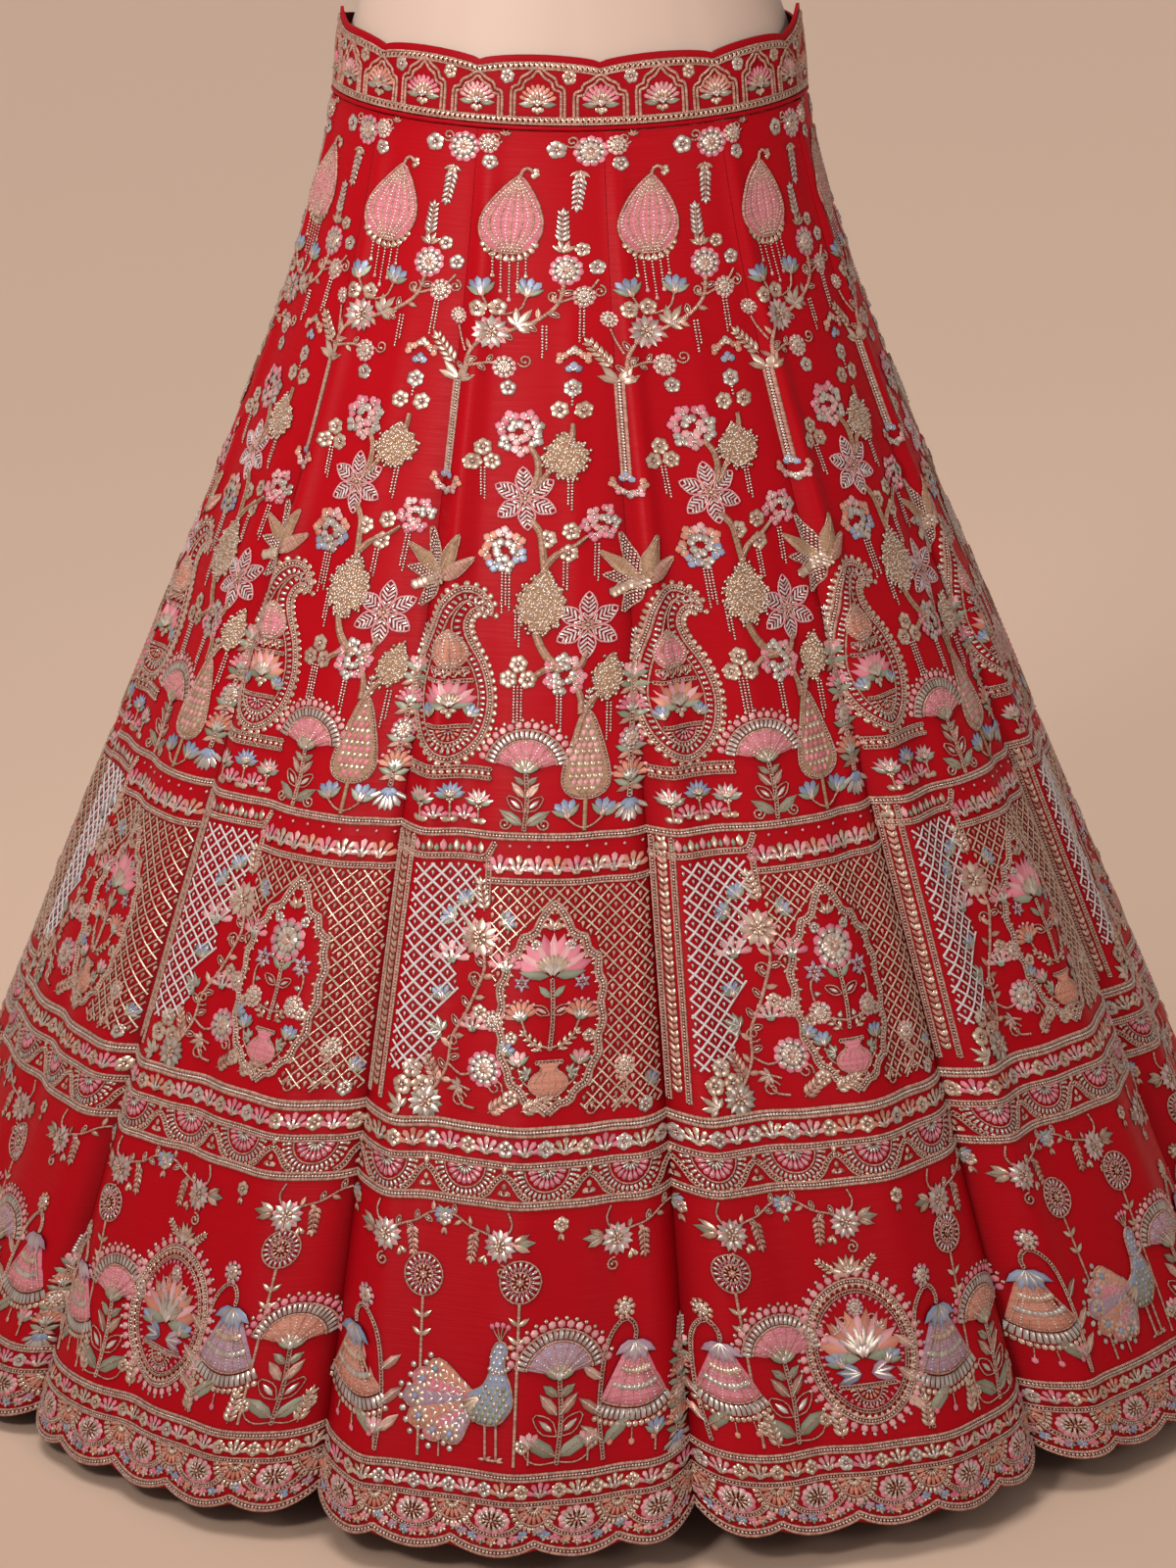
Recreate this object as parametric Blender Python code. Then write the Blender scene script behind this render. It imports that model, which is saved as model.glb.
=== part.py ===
"""A red panelled lehenga skirt worn by a limbless dress form on a stand. Metres, +Z up, front towards -Y.

The skirt hangs from a waistband that rests on the form's hips. Twelve kalis (gores) widen from the
waist seam to a scalloped hem and fold inwards at their seams. Angles run round +Z from the front,
positive towards +X; "share" runs down a kali from 0 at its top edge to 1 at the hem line.
"""

import math
from collections import namedtuple

import bmesh
import bpy
from mathutils import Vector

# Waist seam: an ellipse that dips at the front, where the band hangs free of the form
WAIST_HALF_WIDTH = 0.175
WAIST_HALF_DEPTH = 0.1225
WAIST_HEIGHT = 0.946
FRONT_DIP = 0.0135
DIP_POWER = 1.5

# Kalis
KALI_COUNT = 12
FIRST_SEAM = math.radians(8.0)
KALI_ANGLE = 2 * math.pi / KALI_COUNT
SLANT_LENGTH = 1.0
HEM_RADIUS = 0.5465
HIP_HOLD = 0.65  # share of the flare that is held back at the waist seam
HIP_REACH = 0.11  # share of the length over which that hold fades
SWAY = 0.015  # the hem hangs this far towards +X
SLANT_STEPS = 16
TANGENT_STEP = 0.002
CLOTH = 0.0015
GAP = 0.0003
KALI_COLUMNS = 20
KALI_ROWS = 7
ROW_SPREAD = 1.6  # above 1, the rows lie closer together near the hips, where the profile bends most

# Seam folds and the skirt's slow waves
FOLD_START = 0.05
FOLD_GROWTH = 1.35
SOFT_SHARE = 0.34  # share of a fold that is a broad curve; the rest is a tight tuck at the seam
SOFT_POWER = 2
TUCK_POWER = 7
Wave = namedtuple("Wave", "count depth phase")
WAVES = (Wave(3, 0.0060, 0.6), Wave(5, 0.0045, 2.1))
# one row for each seam, from the first to the right of the front, going towards +X
Seam = namedtuple("Seam", "fold_depth hem_lift")
SEAMS = (
    Seam(0.040, 0.010),
    Seam(0.034, 0.006),
    Seam(0.024, 0.003),
    Seam(0.031, 0.004),
    Seam(0.037, 0.006),
    Seam(0.026, 0.003),
    Seam(0.033, 0.005),
    Seam(0.039, 0.007),
    Seam(0.025, 0.003),
    Seam(0.032, 0.005),
    Seam(0.028, 0.003),
    Seam(0.037, 0.008),
)

# Scalloped hem
SCALLOPS_PER_KALI = 5
SCALLOP_DEPTH = 0.0075
SCALLOP_ROUNDNESS = 0.75
SCALLOP_START = 0.93  # the rows below this share follow the scallops

# Waistband
BAND_HEIGHT = 0.044
BAND_CLOTH = 0.0022
BAND_LEAN = 0.006
BAND_SCALLOPS = 12
BAND_SCALLOP = 0.0055
BAND_SCALLOP_FROM = math.radians(7.5)  # a low point between two scallops
BAND_ROUNDNESS = 0.6
BAND_PEAK = 0.011  # the band is drawn up to a point at each side
BAND_PEAK_ANGLE = math.radians(85.0)
BAND_PEAK_WIDTH = math.radians(7.0)
BAND_COLUMNS_PER_SCALLOP = 8
BAND_ROWS = 3

# Piping in the waist seam
PIPING_RADIUS = 0.0020
PIPING_SIDES = 6
PIPING_STEPS_PER_HALF = 32

# Lining
LINING_BOTTOM = 0.975
LINING_CLEARANCE = 0.004
LINING_CLOTH = 0.0012
LINING_COLUMNS = 4  # across one panel; there is a panel behind each kali

# Dress form
TORSO_SEGMENTS = 32
SEAT = 0.0005  # room between the form's sides and the band that rests on them
Section = namedtuple("Section", "height half_width half_depth forward")
TORSO = (
    Section(0.715, 0.138, 0.096, 0.000),
    Section(0.735, 0.156, 0.110, 0.000),
    Section(0.790, 0.172, 0.120, 0.000),
    Section(0.850, 0.178, 0.1220, 0.000),
    Section(0.900, 0.1755, 0.1185, 0.000),
    Section(WAIST_HEIGHT, WAIST_HALF_WIDTH - BAND_CLOTH - SEAT, 0.1160, 0.000),
    Section(1.000, 0.1580, 0.1050, 0.001),
    Section(1.040, 0.1420, 0.0970, 0.002),
    Section(1.085, 0.1290, 0.0890, 0.003),
    Section(1.130, 0.1340, 0.0950, 0.006),
    Section(1.190, 0.1490, 0.1080, 0.013),
    Section(1.245, 0.1580, 0.1190, 0.018),
    Section(1.295, 0.1600, 0.1120, 0.013),
    Section(1.345, 0.1640, 0.0980, 0.004),
    Section(1.385, 0.1630, 0.0830, -0.002),
    Section(1.412, 0.1400, 0.0720, -0.005),
    Section(1.430, 0.1060, 0.0640, -0.005),
    Section(1.446, 0.0770, 0.0580, -0.003),
    Section(1.468, 0.0600, 0.0540, 0.000),
    Section(1.510, 0.0545, 0.0525, 0.003),
)
NECK_CAP_RADIUS = 0.050
NECK_CAP_HEIGHT = 0.016
NECK_CAP_EDGE = 0.004
NECK_CAP_SEGMENTS = 24
POLE_RADIUS = 0.016
POLE_COLLAR = 0.012
POLE_SEGMENTS = 24
BASE_RADIUS = 0.190
BASE_THICKNESS = 0.014
BASE_EDGE = 0.004
BASE_SOCKET_RADIUS = 0.030
BASE_SOCKET_HEIGHT = 0.045
BASE_SEGMENTS = 48
SLIP = 0.0003

RED_SILK = (0.62, 0.012, 0.022, 1.0)
DARK_RED = (0.52, 0.010, 0.018, 1.0)
NAVY = (0.010, 0.012, 0.022, 1.0)
FORM_CLOTH = (0.73, 0.50, 0.38, 1.0)
WOOD = (0.45, 0.28, 0.15, 1.0)
PAINTED_STEEL = (0.06, 0.06, 0.065, 1.0)


def clear_scene():
    for old in list(bpy.data.objects):
        bpy.data.objects.remove(old)


def make_material(name, colour, roughness):
    material = bpy.data.materials.new(name)
    material.use_nodes = True
    shader = material.node_tree.nodes["Principled BSDF"]
    shader.inputs["Base Color"].default_value = colour
    shader.inputs["Roughness"].default_value = roughness
    shader.inputs["Metallic"].default_value = 0.0
    return material


def add_mesh(name, points, faces, material):
    mesh = bpy.data.meshes.new(name)
    mesh.from_pydata([tuple(point) for point in points], [], faces)
    mesh.materials.append(material)
    mesh.shade_smooth()
    mesh.set_sharp_from_angle(angle=math.radians(40))
    piece = bpy.data.objects.new(name, mesh)
    bpy.context.scene.collection.objects.link(piece)
    return piece


def add_sheet(name, grid, thickness, material):
    """A sheet through a grid of outer points, thickened inwards. Its rows run down, its columns towards +angle."""
    columns = len(grid[0])
    points = [point for row in grid for point in row]
    faces = []
    for r in range(len(grid) - 1):
        for c in range(columns - 1):
            here = r * columns + c
            faces.append((here, here + columns, here + columns + 1, here + 1))
    piece = add_mesh(name, points, faces, material)
    wall = piece.modifiers.new("wall", "SOLIDIFY")
    wall.thickness = thickness
    wall.offset = -1
    wall.use_even_offset = True
    return piece


def add_loft(name, rings, material):
    """A closed body through rings of points, with flat ends."""
    count = len(rings[0])
    points = [point for ring in rings for point in ring]
    faces = []
    for r in range(len(rings) - 1):
        for c in range(count):
            after = (c + 1) % count
            faces.append((r * count + c, r * count + after, (r + 1) * count + after, (r + 1) * count + c))
    faces.append(tuple(reversed(range(count))))
    faces.append(tuple((len(rings) - 1) * count + c for c in range(count)))
    piece = add_mesh(name, points, faces, material)
    shape = bmesh.new()
    shape.from_mesh(piece.data)
    bmesh.ops.recalc_face_normals(shape, faces=shape.faces)
    shape.to_mesh(piece.data)
    shape.free()
    return piece


def add_tube(name, path, radius, sides, material):
    """A closed round tube along an open path of points, its section kept upright."""
    rings = []
    for i, point in enumerate(path):
        along = (path[min(i + 1, len(path) - 1)] - path[max(i - 1, 0)]).normalized()
        outward = along.cross(Vector((0, 0, 1))).normalized()
        upward = outward.cross(along)
        turns = [2 * math.pi * k / sides for k in range(sides)]
        rings.append([point + radius * (math.cos(a) * outward + math.sin(a) * upward) for a in turns])
    return add_loft(name, rings, material)


def add_turned(name, profile, segments, material):
    """A closed body of revolution about +Z through (radius, height) points from the bottom up."""
    turns = [2 * math.pi * k / segments for k in range(segments)]
    rings = [[Vector((r * math.cos(a), r * math.sin(a), z)) for a in turns] for r, z in profile]
    return add_loft(name, rings, material)


def waist_seam(angle):
    """The waist seam's outer point at an angle."""
    dip = FRONT_DIP * max(0.0, math.cos(angle)) ** DIP_POWER
    return Vector((
        WAIST_HALF_WIDTH * math.sin(angle),
        -WAIST_HALF_DEPTH * math.cos(angle),
        WAIST_HEIGHT - dip,
    ))


def kali_shares():
    """The shares of a kali's rows: from its top edge to where the scallops start, and the hem."""
    top = (PIPING_RADIUS * 2 + GAP) / SLANT_LENGTH
    steps = [(r / (KALI_ROWS - 1)) ** ROW_SPREAD for r in range(KALI_ROWS)]
    return [top + (SCALLOP_START - top) * step for step in steps] + [1.0]


def flare_at(share):
    """(share of the whole flare reached at a share of the length, rate at which it grows there)."""
    whole = 1 - HIP_HOLD * HIP_REACH * (1 - math.exp(-1 / HIP_REACH))
    fade = math.exp(-share / HIP_REACH)
    return (share - HIP_HOLD * HIP_REACH * (1 - fade)) / whole, (1 - HIP_HOLD * fade) / whole


def slant_drop(run, share):
    """How far below its top a kali has come at a share of its length, when it goes out by run in all."""
    drop = 0.0
    for step in range(SLANT_STEPS):
        rate = flare_at(share * (step + 0.5) / SLANT_STEPS)[1]
        drop += share / SLANT_STEPS * math.sqrt(SLANT_LENGTH**2 - (run * rate) ** 2)
    return drop


def fold_at(angle, share):
    """(inward depth of the seam fold, lift of the hem) at an angle."""
    across = (angle - FIRST_SEAM) / KALI_ANGLE
    left = math.floor(across)
    place = 2 * (across - left) - 1
    seam = SEAMS[(left if place < 0 else left + 1) % KALI_COUNT]
    soft = SOFT_SHARE * abs(place) ** SOFT_POWER
    tuck = (1 - SOFT_SHARE) * abs(place) ** TUCK_POWER
    grown = max(0.0, (share - FOLD_START) / (1 - FOLD_START)) ** FOLD_GROWTH
    return seam.fold_depth * (soft + tuck) * grown, seam.hem_lift * abs(place) ** TUCK_POWER * grown**3


def wave_at(angle, share):
    return share**2 * sum(w.depth * math.sin(w.count * angle + w.phase) for w in WAVES)


def skirt_point(angle, share, inward=0.0, folded=True):
    """The skirt's outer surface, or a surface that lies inward of it."""
    top = waist_seam(angle)
    hem = Vector((HEM_RADIUS * math.sin(angle) + SWAY, -HEM_RADIUS * math.cos(angle), 0))
    out = Vector((hem.x - top.x, hem.y - top.y, 0))
    point = Vector((top.x, top.y, top.z - slant_drop(out.length, share))) + out * flare_at(share)[0]
    radial = Vector((math.sin(angle), -math.cos(angle), 0))
    depth, lift = fold_at(angle, share) if folded else (0.0, 0.0)
    point += radial * (wave_at(angle, share) - depth - inward)
    point.z += lift
    return point


def down_the_slant(angle, share, distance):
    """A point that far below skirt_point, along the cloth."""
    along = skirt_point(angle, share) - skirt_point(angle, share - TANGENT_STEP)
    return skirt_point(angle, share) + along.normalized() * distance


def scallop(angle):
    """How far the hem hangs below its line: 0 between scallops, most in the middle of one."""
    across = (angle - FIRST_SEAM) / KALI_ANGLE * SCALLOPS_PER_KALI
    return SCALLOP_DEPTH * abs(math.sin(math.pi * across)) ** SCALLOP_ROUNDNESS


def part_at_seams(row):
    """Draws a row's ends in, so that it stands clear of the piece that it is sewn to."""
    row[0] = row[0] + (row[1] - row[0]).normalized() * GAP / 2
    row[-1] = row[-1] - (row[-1] - row[-2]).normalized() * GAP / 2


def panel_angles(number, columns):
    """The angles of a panel's columns, from the seam at its left to the seam at its right."""
    start = FIRST_SEAM + (number - 1) * KALI_ANGLE
    return [start + KALI_ANGLE * c / columns for c in range(columns + 1)]


def make_kali(number, material):
    """One gore."""
    grid = []
    for share in kali_shares():
        row = []
        for angle in panel_angles(number, KALI_COLUMNS):
            hang = scallop(angle) if share == 1.0 else 0.0
            row.append(down_the_slant(angle, share, hang))
        part_at_seams(row)
        grid.append(row)
    return add_sheet(f"kali_{number:02d}", grid, CLOTH, material)


def band_peak(angle):
    """The rise of the band where it is drawn up at each side."""
    turn = math.remainder(angle, 2 * math.pi)
    return BAND_PEAK * math.exp(-(((abs(turn) - BAND_PEAK_ANGLE) / BAND_PEAK_WIDTH) ** 2))


def band_point(angle, rise):
    """The band's outer surface at a share of its height."""
    foot = waist_seam(angle)
    bulge = abs(math.sin(BAND_SCALLOPS * (angle - BAND_SCALLOP_FROM) / 2)) ** BAND_ROUNDNESS
    height = GAP + (BAND_HEIGHT - GAP + BAND_SCALLOP * bulge + band_peak(angle)) * rise
    lean = BAND_LEAN * rise
    return Vector((
        foot.x * (1 - lean / WAIST_HALF_WIDTH),
        foot.y * (1 - lean / WAIST_HALF_DEPTH),
        foot.z + height,
    ))


def make_band_half(name, start, material):
    """Half of the waistband, from its side seam at start round to the other."""
    columns = BAND_SCALLOPS // 2 * BAND_COLUMNS_PER_SCALLOP
    grid = []
    for r in range(BAND_ROWS + 1):
        rise = 1 - r / BAND_ROWS
        row = [band_point(start + math.pi * c / columns, rise) for c in range(columns + 1)]
        part_at_seams(row)
        grid.append(row)
    return add_sheet(name, grid, BAND_CLOTH, material)


def make_piping_half(name, start, material):
    """Half of the piping: it lies just under the band, between it and the kalis' top edges."""
    steps = PIPING_STEPS_PER_HALF
    turns = [start + math.pi * k / steps for k in range(steps + 1)]
    path = [waist_seam(angle) - Vector((0, 0, PIPING_RADIUS)) for angle in turns]
    part_at_seams(path)
    return add_tube(name, path, PIPING_RADIUS, PIPING_SIDES, material)


def lining_point(angle, share, clearance):
    """The lining hangs just inside the deepest folds."""
    deepest = max(seam.fold_depth for seam in SEAMS)
    grown = max(0.0, (share - FOLD_START) / (1 - FOLD_START)) ** FOLD_GROWTH
    return skirt_point(angle, share, inward=CLOTH + clearance + deepest * grown, folded=False)


def make_lining(number, material):
    """The lining behind one kali, with that kali's rows from the second one down; its top is caught to the folds."""
    grid = []
    for r, share in enumerate(kali_shares()[1:-1] + [LINING_BOTTOM]):
        clearance = LINING_CLEARANCE if r else 2 * GAP
        row = [lining_point(angle, share, clearance) for angle in panel_angles(number, LINING_COLUMNS)]
        part_at_seams(row)
        grid.append(row)
    return add_sheet(f"lining_{number:02d}", grid, LINING_CLOTH, material)


def make_torso(material):
    rings = []
    for section in TORSO:
        turns = [2 * math.pi * k / TORSO_SEGMENTS for k in range(TORSO_SEGMENTS)]
        rings.append([
            Vector((
                section.half_width * math.sin(a),
                -section.half_depth * math.cos(a) - section.forward,
                section.height,
            ))
            for a in turns
        ])
    return add_loft("form_torso", rings, material)


def make_neck_cap(material):
    bottom = TORSO[-1].height + SLIP
    crown = bottom + NECK_CAP_HEIGHT
    profile = (
        (NECK_CAP_RADIUS - NECK_CAP_EDGE, bottom),
        (NECK_CAP_RADIUS, bottom + NECK_CAP_EDGE),
        (NECK_CAP_RADIUS, crown - 1.5 * NECK_CAP_EDGE),
        (NECK_CAP_RADIUS - 1.5 * NECK_CAP_EDGE, crown - NECK_CAP_EDGE / 4),
        (NECK_CAP_RADIUS - 4 * NECK_CAP_EDGE, crown),
    )
    cap = add_turned("form_neck_cap", profile, NECK_CAP_SEGMENTS, material)
    cap.location.y = -TORSO[-1].forward
    return cap


def make_stand(material):
    foot = BASE_THICKNESS + SLIP
    top = TORSO[0].height - SLIP
    socket_rise = BASE_THICKNESS + BASE_SOCKET_HEIGHT
    base_profile = (
        (BASE_RADIUS, 0.0),
        (BASE_RADIUS, BASE_THICKNESS - BASE_EDGE),
        (BASE_RADIUS - BASE_EDGE, BASE_THICKNESS),
    )
    add_turned("form_base", base_profile, BASE_SEGMENTS, material)
    pole_profile = (
        (BASE_SOCKET_RADIUS, foot),
        (BASE_SOCKET_RADIUS, socket_rise - BASE_EDGE),
        (BASE_SOCKET_RADIUS - BASE_EDGE, socket_rise),
        (POLE_RADIUS, socket_rise),
        (POLE_RADIUS, top - POLE_COLLAR),
        (BASE_SOCKET_RADIUS, top - POLE_COLLAR),
        (BASE_SOCKET_RADIUS, top),
    )
    add_turned("form_pole", pole_profile, POLE_SEGMENTS, material)


def main():
    clear_scene()
    silk = make_material("red_silk", RED_SILK, 0.42)
    band_silk = make_material("waistband_silk", DARK_RED, 0.42)
    lining_cloth = make_material("lining_cloth", NAVY, 0.7)
    form_cloth = make_material("form_cloth", FORM_CLOTH, 0.6)
    wood = make_material("turned_wood", WOOD, 0.4)
    steel = make_material("painted_steel", PAINTED_STEEL, 0.45)
    for number in range(1, KALI_COUNT + 1):
        make_kali(number, silk)
        make_lining(number, lining_cloth)
    make_band_half("waistband_front", -math.pi / 2, band_silk)
    make_band_half("waistband_back", math.pi / 2, band_silk)
    make_piping_half("waist_piping_front", -math.pi / 2, silk)
    make_piping_half("waist_piping_back", math.pi / 2, silk)
    make_torso(form_cloth)
    make_neck_cap(wood)
    make_stand(steel)


main()
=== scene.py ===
import math
import random

import bpy
import numpy as np
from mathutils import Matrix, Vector


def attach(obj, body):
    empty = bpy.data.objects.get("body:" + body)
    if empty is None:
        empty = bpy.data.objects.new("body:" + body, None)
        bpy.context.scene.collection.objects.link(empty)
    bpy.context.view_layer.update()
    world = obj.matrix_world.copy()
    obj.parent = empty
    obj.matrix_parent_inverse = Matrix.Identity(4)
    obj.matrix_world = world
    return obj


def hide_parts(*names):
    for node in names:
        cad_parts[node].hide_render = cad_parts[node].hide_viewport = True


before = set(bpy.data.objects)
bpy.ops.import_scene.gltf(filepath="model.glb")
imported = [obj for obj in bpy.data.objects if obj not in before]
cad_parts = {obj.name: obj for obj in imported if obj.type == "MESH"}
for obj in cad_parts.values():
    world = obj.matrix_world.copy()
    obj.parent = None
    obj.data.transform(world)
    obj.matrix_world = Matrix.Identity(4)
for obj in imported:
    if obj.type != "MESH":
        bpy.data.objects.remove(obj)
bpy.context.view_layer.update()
random.seed(7)


# node helpers

def feed(socket, value):
    if isinstance(value, bpy.types.NodeSocket):
        socket.id_data.links.new(value, socket)
    else:
        socket.default_value = value


def addNode(tree, kind, feeds=None, **settings):
    # feeds: what each input takes, by its name or number
    made = tree.nodes.new(kind)
    made.location = (190 * len(tree.nodes), 0)
    for name, value in settings.items():
        setattr(made, name, value)
    for name, value in (feeds or {}).items():
        feed(made.inputs[name], value)
    return made


def mathNode(tree, operation, *values):
    return addNode(tree, "ShaderNodeMath", dict(enumerate(values)), operation=operation).outputs[0]


def noiseNode(tree, vector, scale, detail=2.0, **settings):
    feeds = {"Vector": vector, "Scale": scale, "Detail": detail}
    return addNode(tree, "ShaderNodeTexNoise", feeds, **settings).outputs[0]


def newGroup(name, inputs, outputs):
    group = bpy.data.node_groups.new(name, "ShaderNodeTree")
    for label, value in inputs.items():
        kind = "Float" if isinstance(value, float) else "Vector" if len(value) == 3 else "Color"
        made = group.interface.new_socket(label, in_out="INPUT", socket_type="NodeSocket" + kind)
        made.default_value = value
    for label in outputs:
        kind = "Color" if label == "Colour" else "Float"
        group.interface.new_socket(label, in_out="OUTPUT", socket_type="NodeSocket" + kind)
    return group, addNode(group, "NodeGroupInput").outputs, addNode(group, "NodeGroupOutput").inputs


def useGroup(tree, group, colour=None, shade=None, **values):
    if colour:
        values.update(Colour=(*colour, 1), Shade=(*shade, 1))
    return addNode(tree, "ShaderNodeGroup", values, node_tree=group).outputs


def mixTones(group, factor, given, result):
    # from the group's colour to its shade
    factor.node.use_clamp = True
    mix = addNode(group, "ShaderNodeMix", data_type="RGBA")
    for name, source in (("Factor", factor), ("A", given["Colour"]), ("B", given["Shade"])):
        feed(mix.inputs[name], source)
    feed(result["Colour"], mix.outputs["Result"])


def spreadTones(group, first, second, share, floor, given, result):
    parts = [mathNode(group, "MULTIPLY", *pair) for pair in ((first, share), (second, 1 - share))]
    above = mathNode(group, "SUBTRACT", mathNode(group, "ADD", *parts), floor)
    mixTones(group, mathNode(group, "MULTIPLY", above, given["Spread"]), given, result)


def newMaterial(name, tone, roughness=0.5, metallic=0.0):
    # tone: a group and what it is given
    material = bpy.data.materials.new(name)
    material.use_nodes = True
    shader = material.node_tree.nodes["Principled BSDF"].inputs
    feed(shader["Roughness"], roughness)
    feed(shader["Metallic"], metallic)
    group, values = tone
    look = useGroup(material.node_tree, group, **values)
    feed(shader["Base Color"], look["Colour"])
    return material, material.node_tree, shader, look


def addRelief(tree, shader, height, strength, distance):
    bump = {"Strength": strength, "Distance": distance, "Height": height}
    feed(shader["Normal"], addNode(tree, "ShaderNodeBump", bump).outputs[0])


# shared effects

def uvParts(group):
    uv = addNode(group, "ShaderNodeUVMap", uv_map="thread").outputs[0]
    return addNode(group, "ShaderNodeSeparateXYZ", {0: uv}).outputs


def makeStitchTone():
    # tone of each stitch or bead, and the shadow where a thread meets the cloth
    inputs = {"Colour": (0.5, 0.5, 0.5, 1), "Shade": (0.2, 0.2, 0.2, 1), "Stitch": 0.8, "Spread": 0.35}
    group, given, result = newGroup("stitchTone", inputs, ["Colour"])
    along, side = uvParts(group)[:2]
    step = mathNode(group, "FLOOR", mathNode(group, "DIVIDE", along, given["Stitch"]))
    noise = addNode(group, "ShaderNodeTexWhiteNoise", noise_dimensions="1D")
    feed(noise.inputs["W"], step)
    off = mathNode(group, "ABSOLUTE", mathNode(group, "SUBTRACT", side, 0.5))
    away = mathNode(group, "MULTIPLY", off, 2.0)
    dark = mathNode(group, "MULTIPLY", mathNode(group, "POWER", away, 2.2), 0.55)
    varied = mathNode(group, "MULTIPLY", noise.outputs["Value"], given["Spread"])
    mixTones(group, mathNode(group, "ADD", varied, dark), given, result)
    return group


def makeTwist():
    # height of a twisted thread: slanted ridges along the cord
    group, given, result = newGroup("twist", {"Pitch": 1.6, "Slant": 1.0}, ["Height"])
    along, side = uvParts(group)[:2]
    slant = mathNode(group, "MULTIPLY", side, given["Slant"])
    turn = mathNode(group, "ADD", mathNode(group, "DIVIDE", along, given["Pitch"]), slant)
    feed(result["Height"], mathNode(group, "SINE", mathNode(group, "MULTIPLY", turn, 2 * math.pi)))
    return group


def makeSlub():
    # raw silk: long uneven threads that run across the panel, and a slower change of tone
    inputs = {"Colour": (0.5, 0, 0, 1), "Shade": (0.3, 0, 0, 1), "Spread": 0.5}
    group, given, result = newGroup("slub", inputs, ["Colour", "Height", "Roughness"])
    uv = addNode(group, "ShaderNodeUVMap", uv_map="cloth").outputs[0]
    threadWay, weave = (addNode(group, "ShaderNodeMapping", {0: uv, "Scale": scale}).outputs[0]
        for scale in ((26, 620, 1), (1500, 300, 1)))
    slub = noiseNode(group, threadWay, 1.0, 3.0, noise_dimensions="2D")
    weave = noiseNode(group, weave, 1.0, noise_dimensions="2D")
    spreadTones(group, slub, noiseNode(group, uv, 9.0, noise_dimensions="2D"), 0.6, 0.28, given, result)
    feed(result["Height"], mathNode(group, "ADD", slub, mathNode(group, "MULTIPLY", weave, 0.35)))
    feed(result["Roughness"], mathNode(group, "ADD", mathNode(group, "MULTIPLY", slub, 0.22), 0.36))
    return group


def makeGrain():
    # fine even cloth, brushed wood or powder coat, from noise on the piece itself
    inputs = {"Colour": (0.5, 0.5, 0.5, 1), "Shade": (0.3, 0.3, 0.3, 1), "Stretch": (1, 1, 1),
              "Fineness": 400.0, "Spread": 0.5}
    group, given, result = newGroup("grain", inputs, ["Colour", "Height"])
    where = addNode(group, "ShaderNodeTexCoord").outputs["Object"]
    stretched = addNode(group, "ShaderNodeVectorMath", {0: where, 1: given["Stretch"]}, operation="MULTIPLY")
    scaled = stretched.outputs[0]
    fine = noiseNode(group, scaled, given["Fineness"], 4.0)
    spreadTones(group, fine, noiseNode(group, scaled, 7.0), 0.5, 0.3, given, result)
    feed(result["Height"], fine)
    return group


stitchTone, twist, slub, grain = makeStitchTone(), makeTwist(), makeSlub(), makeGrain()


# finishes

def scaleTone(tree, shader, colour, factor):
    scaled = addNode(tree, "ShaderNodeVectorMath", {0: colour, "Scale": factor}, operation="SCALE")
    feed(shader["Base Color"], scaled.outputs[0])


def silkFinish(name, colour, shade):
    tone = {"colour": colour, "shade": shade, "Spread": 0.8}
    material, tree, shader, look = newMaterial(name, (slub, tone))
    addRelief(tree, shader, look["Height"], 0.22, 0.0006)
    feed(shader["Roughness"], look["Roughness"])
    feed(shader["Specular IOR Level"], 0.07)
    # painted shade: an ambient occlusion node darkens the silk's colour in the folds and close beside raised
    # stitches
    near = addNode(tree, "ShaderNodeAmbientOcclusion", {"Distance": 0.025}, samples=6).outputs["AO"]
    scaleTone(tree, shader, look["Colour"], mathNode(tree, "POWER", near, 1.1))
    return material


def grainFinish(name, colour, shade, upward, fineness, spread, bump, roughness):
    tone = {"colour": colour, "shade": shade, "Stretch": (1, 1, upward), "Fineness": fineness,
        "Spread": spread}
    material, tree, shader, look = newMaterial(name, (grain, tone), roughness)
    addRelief(tree, shader, look["Height"], bump, 0.0004)
    return material


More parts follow.
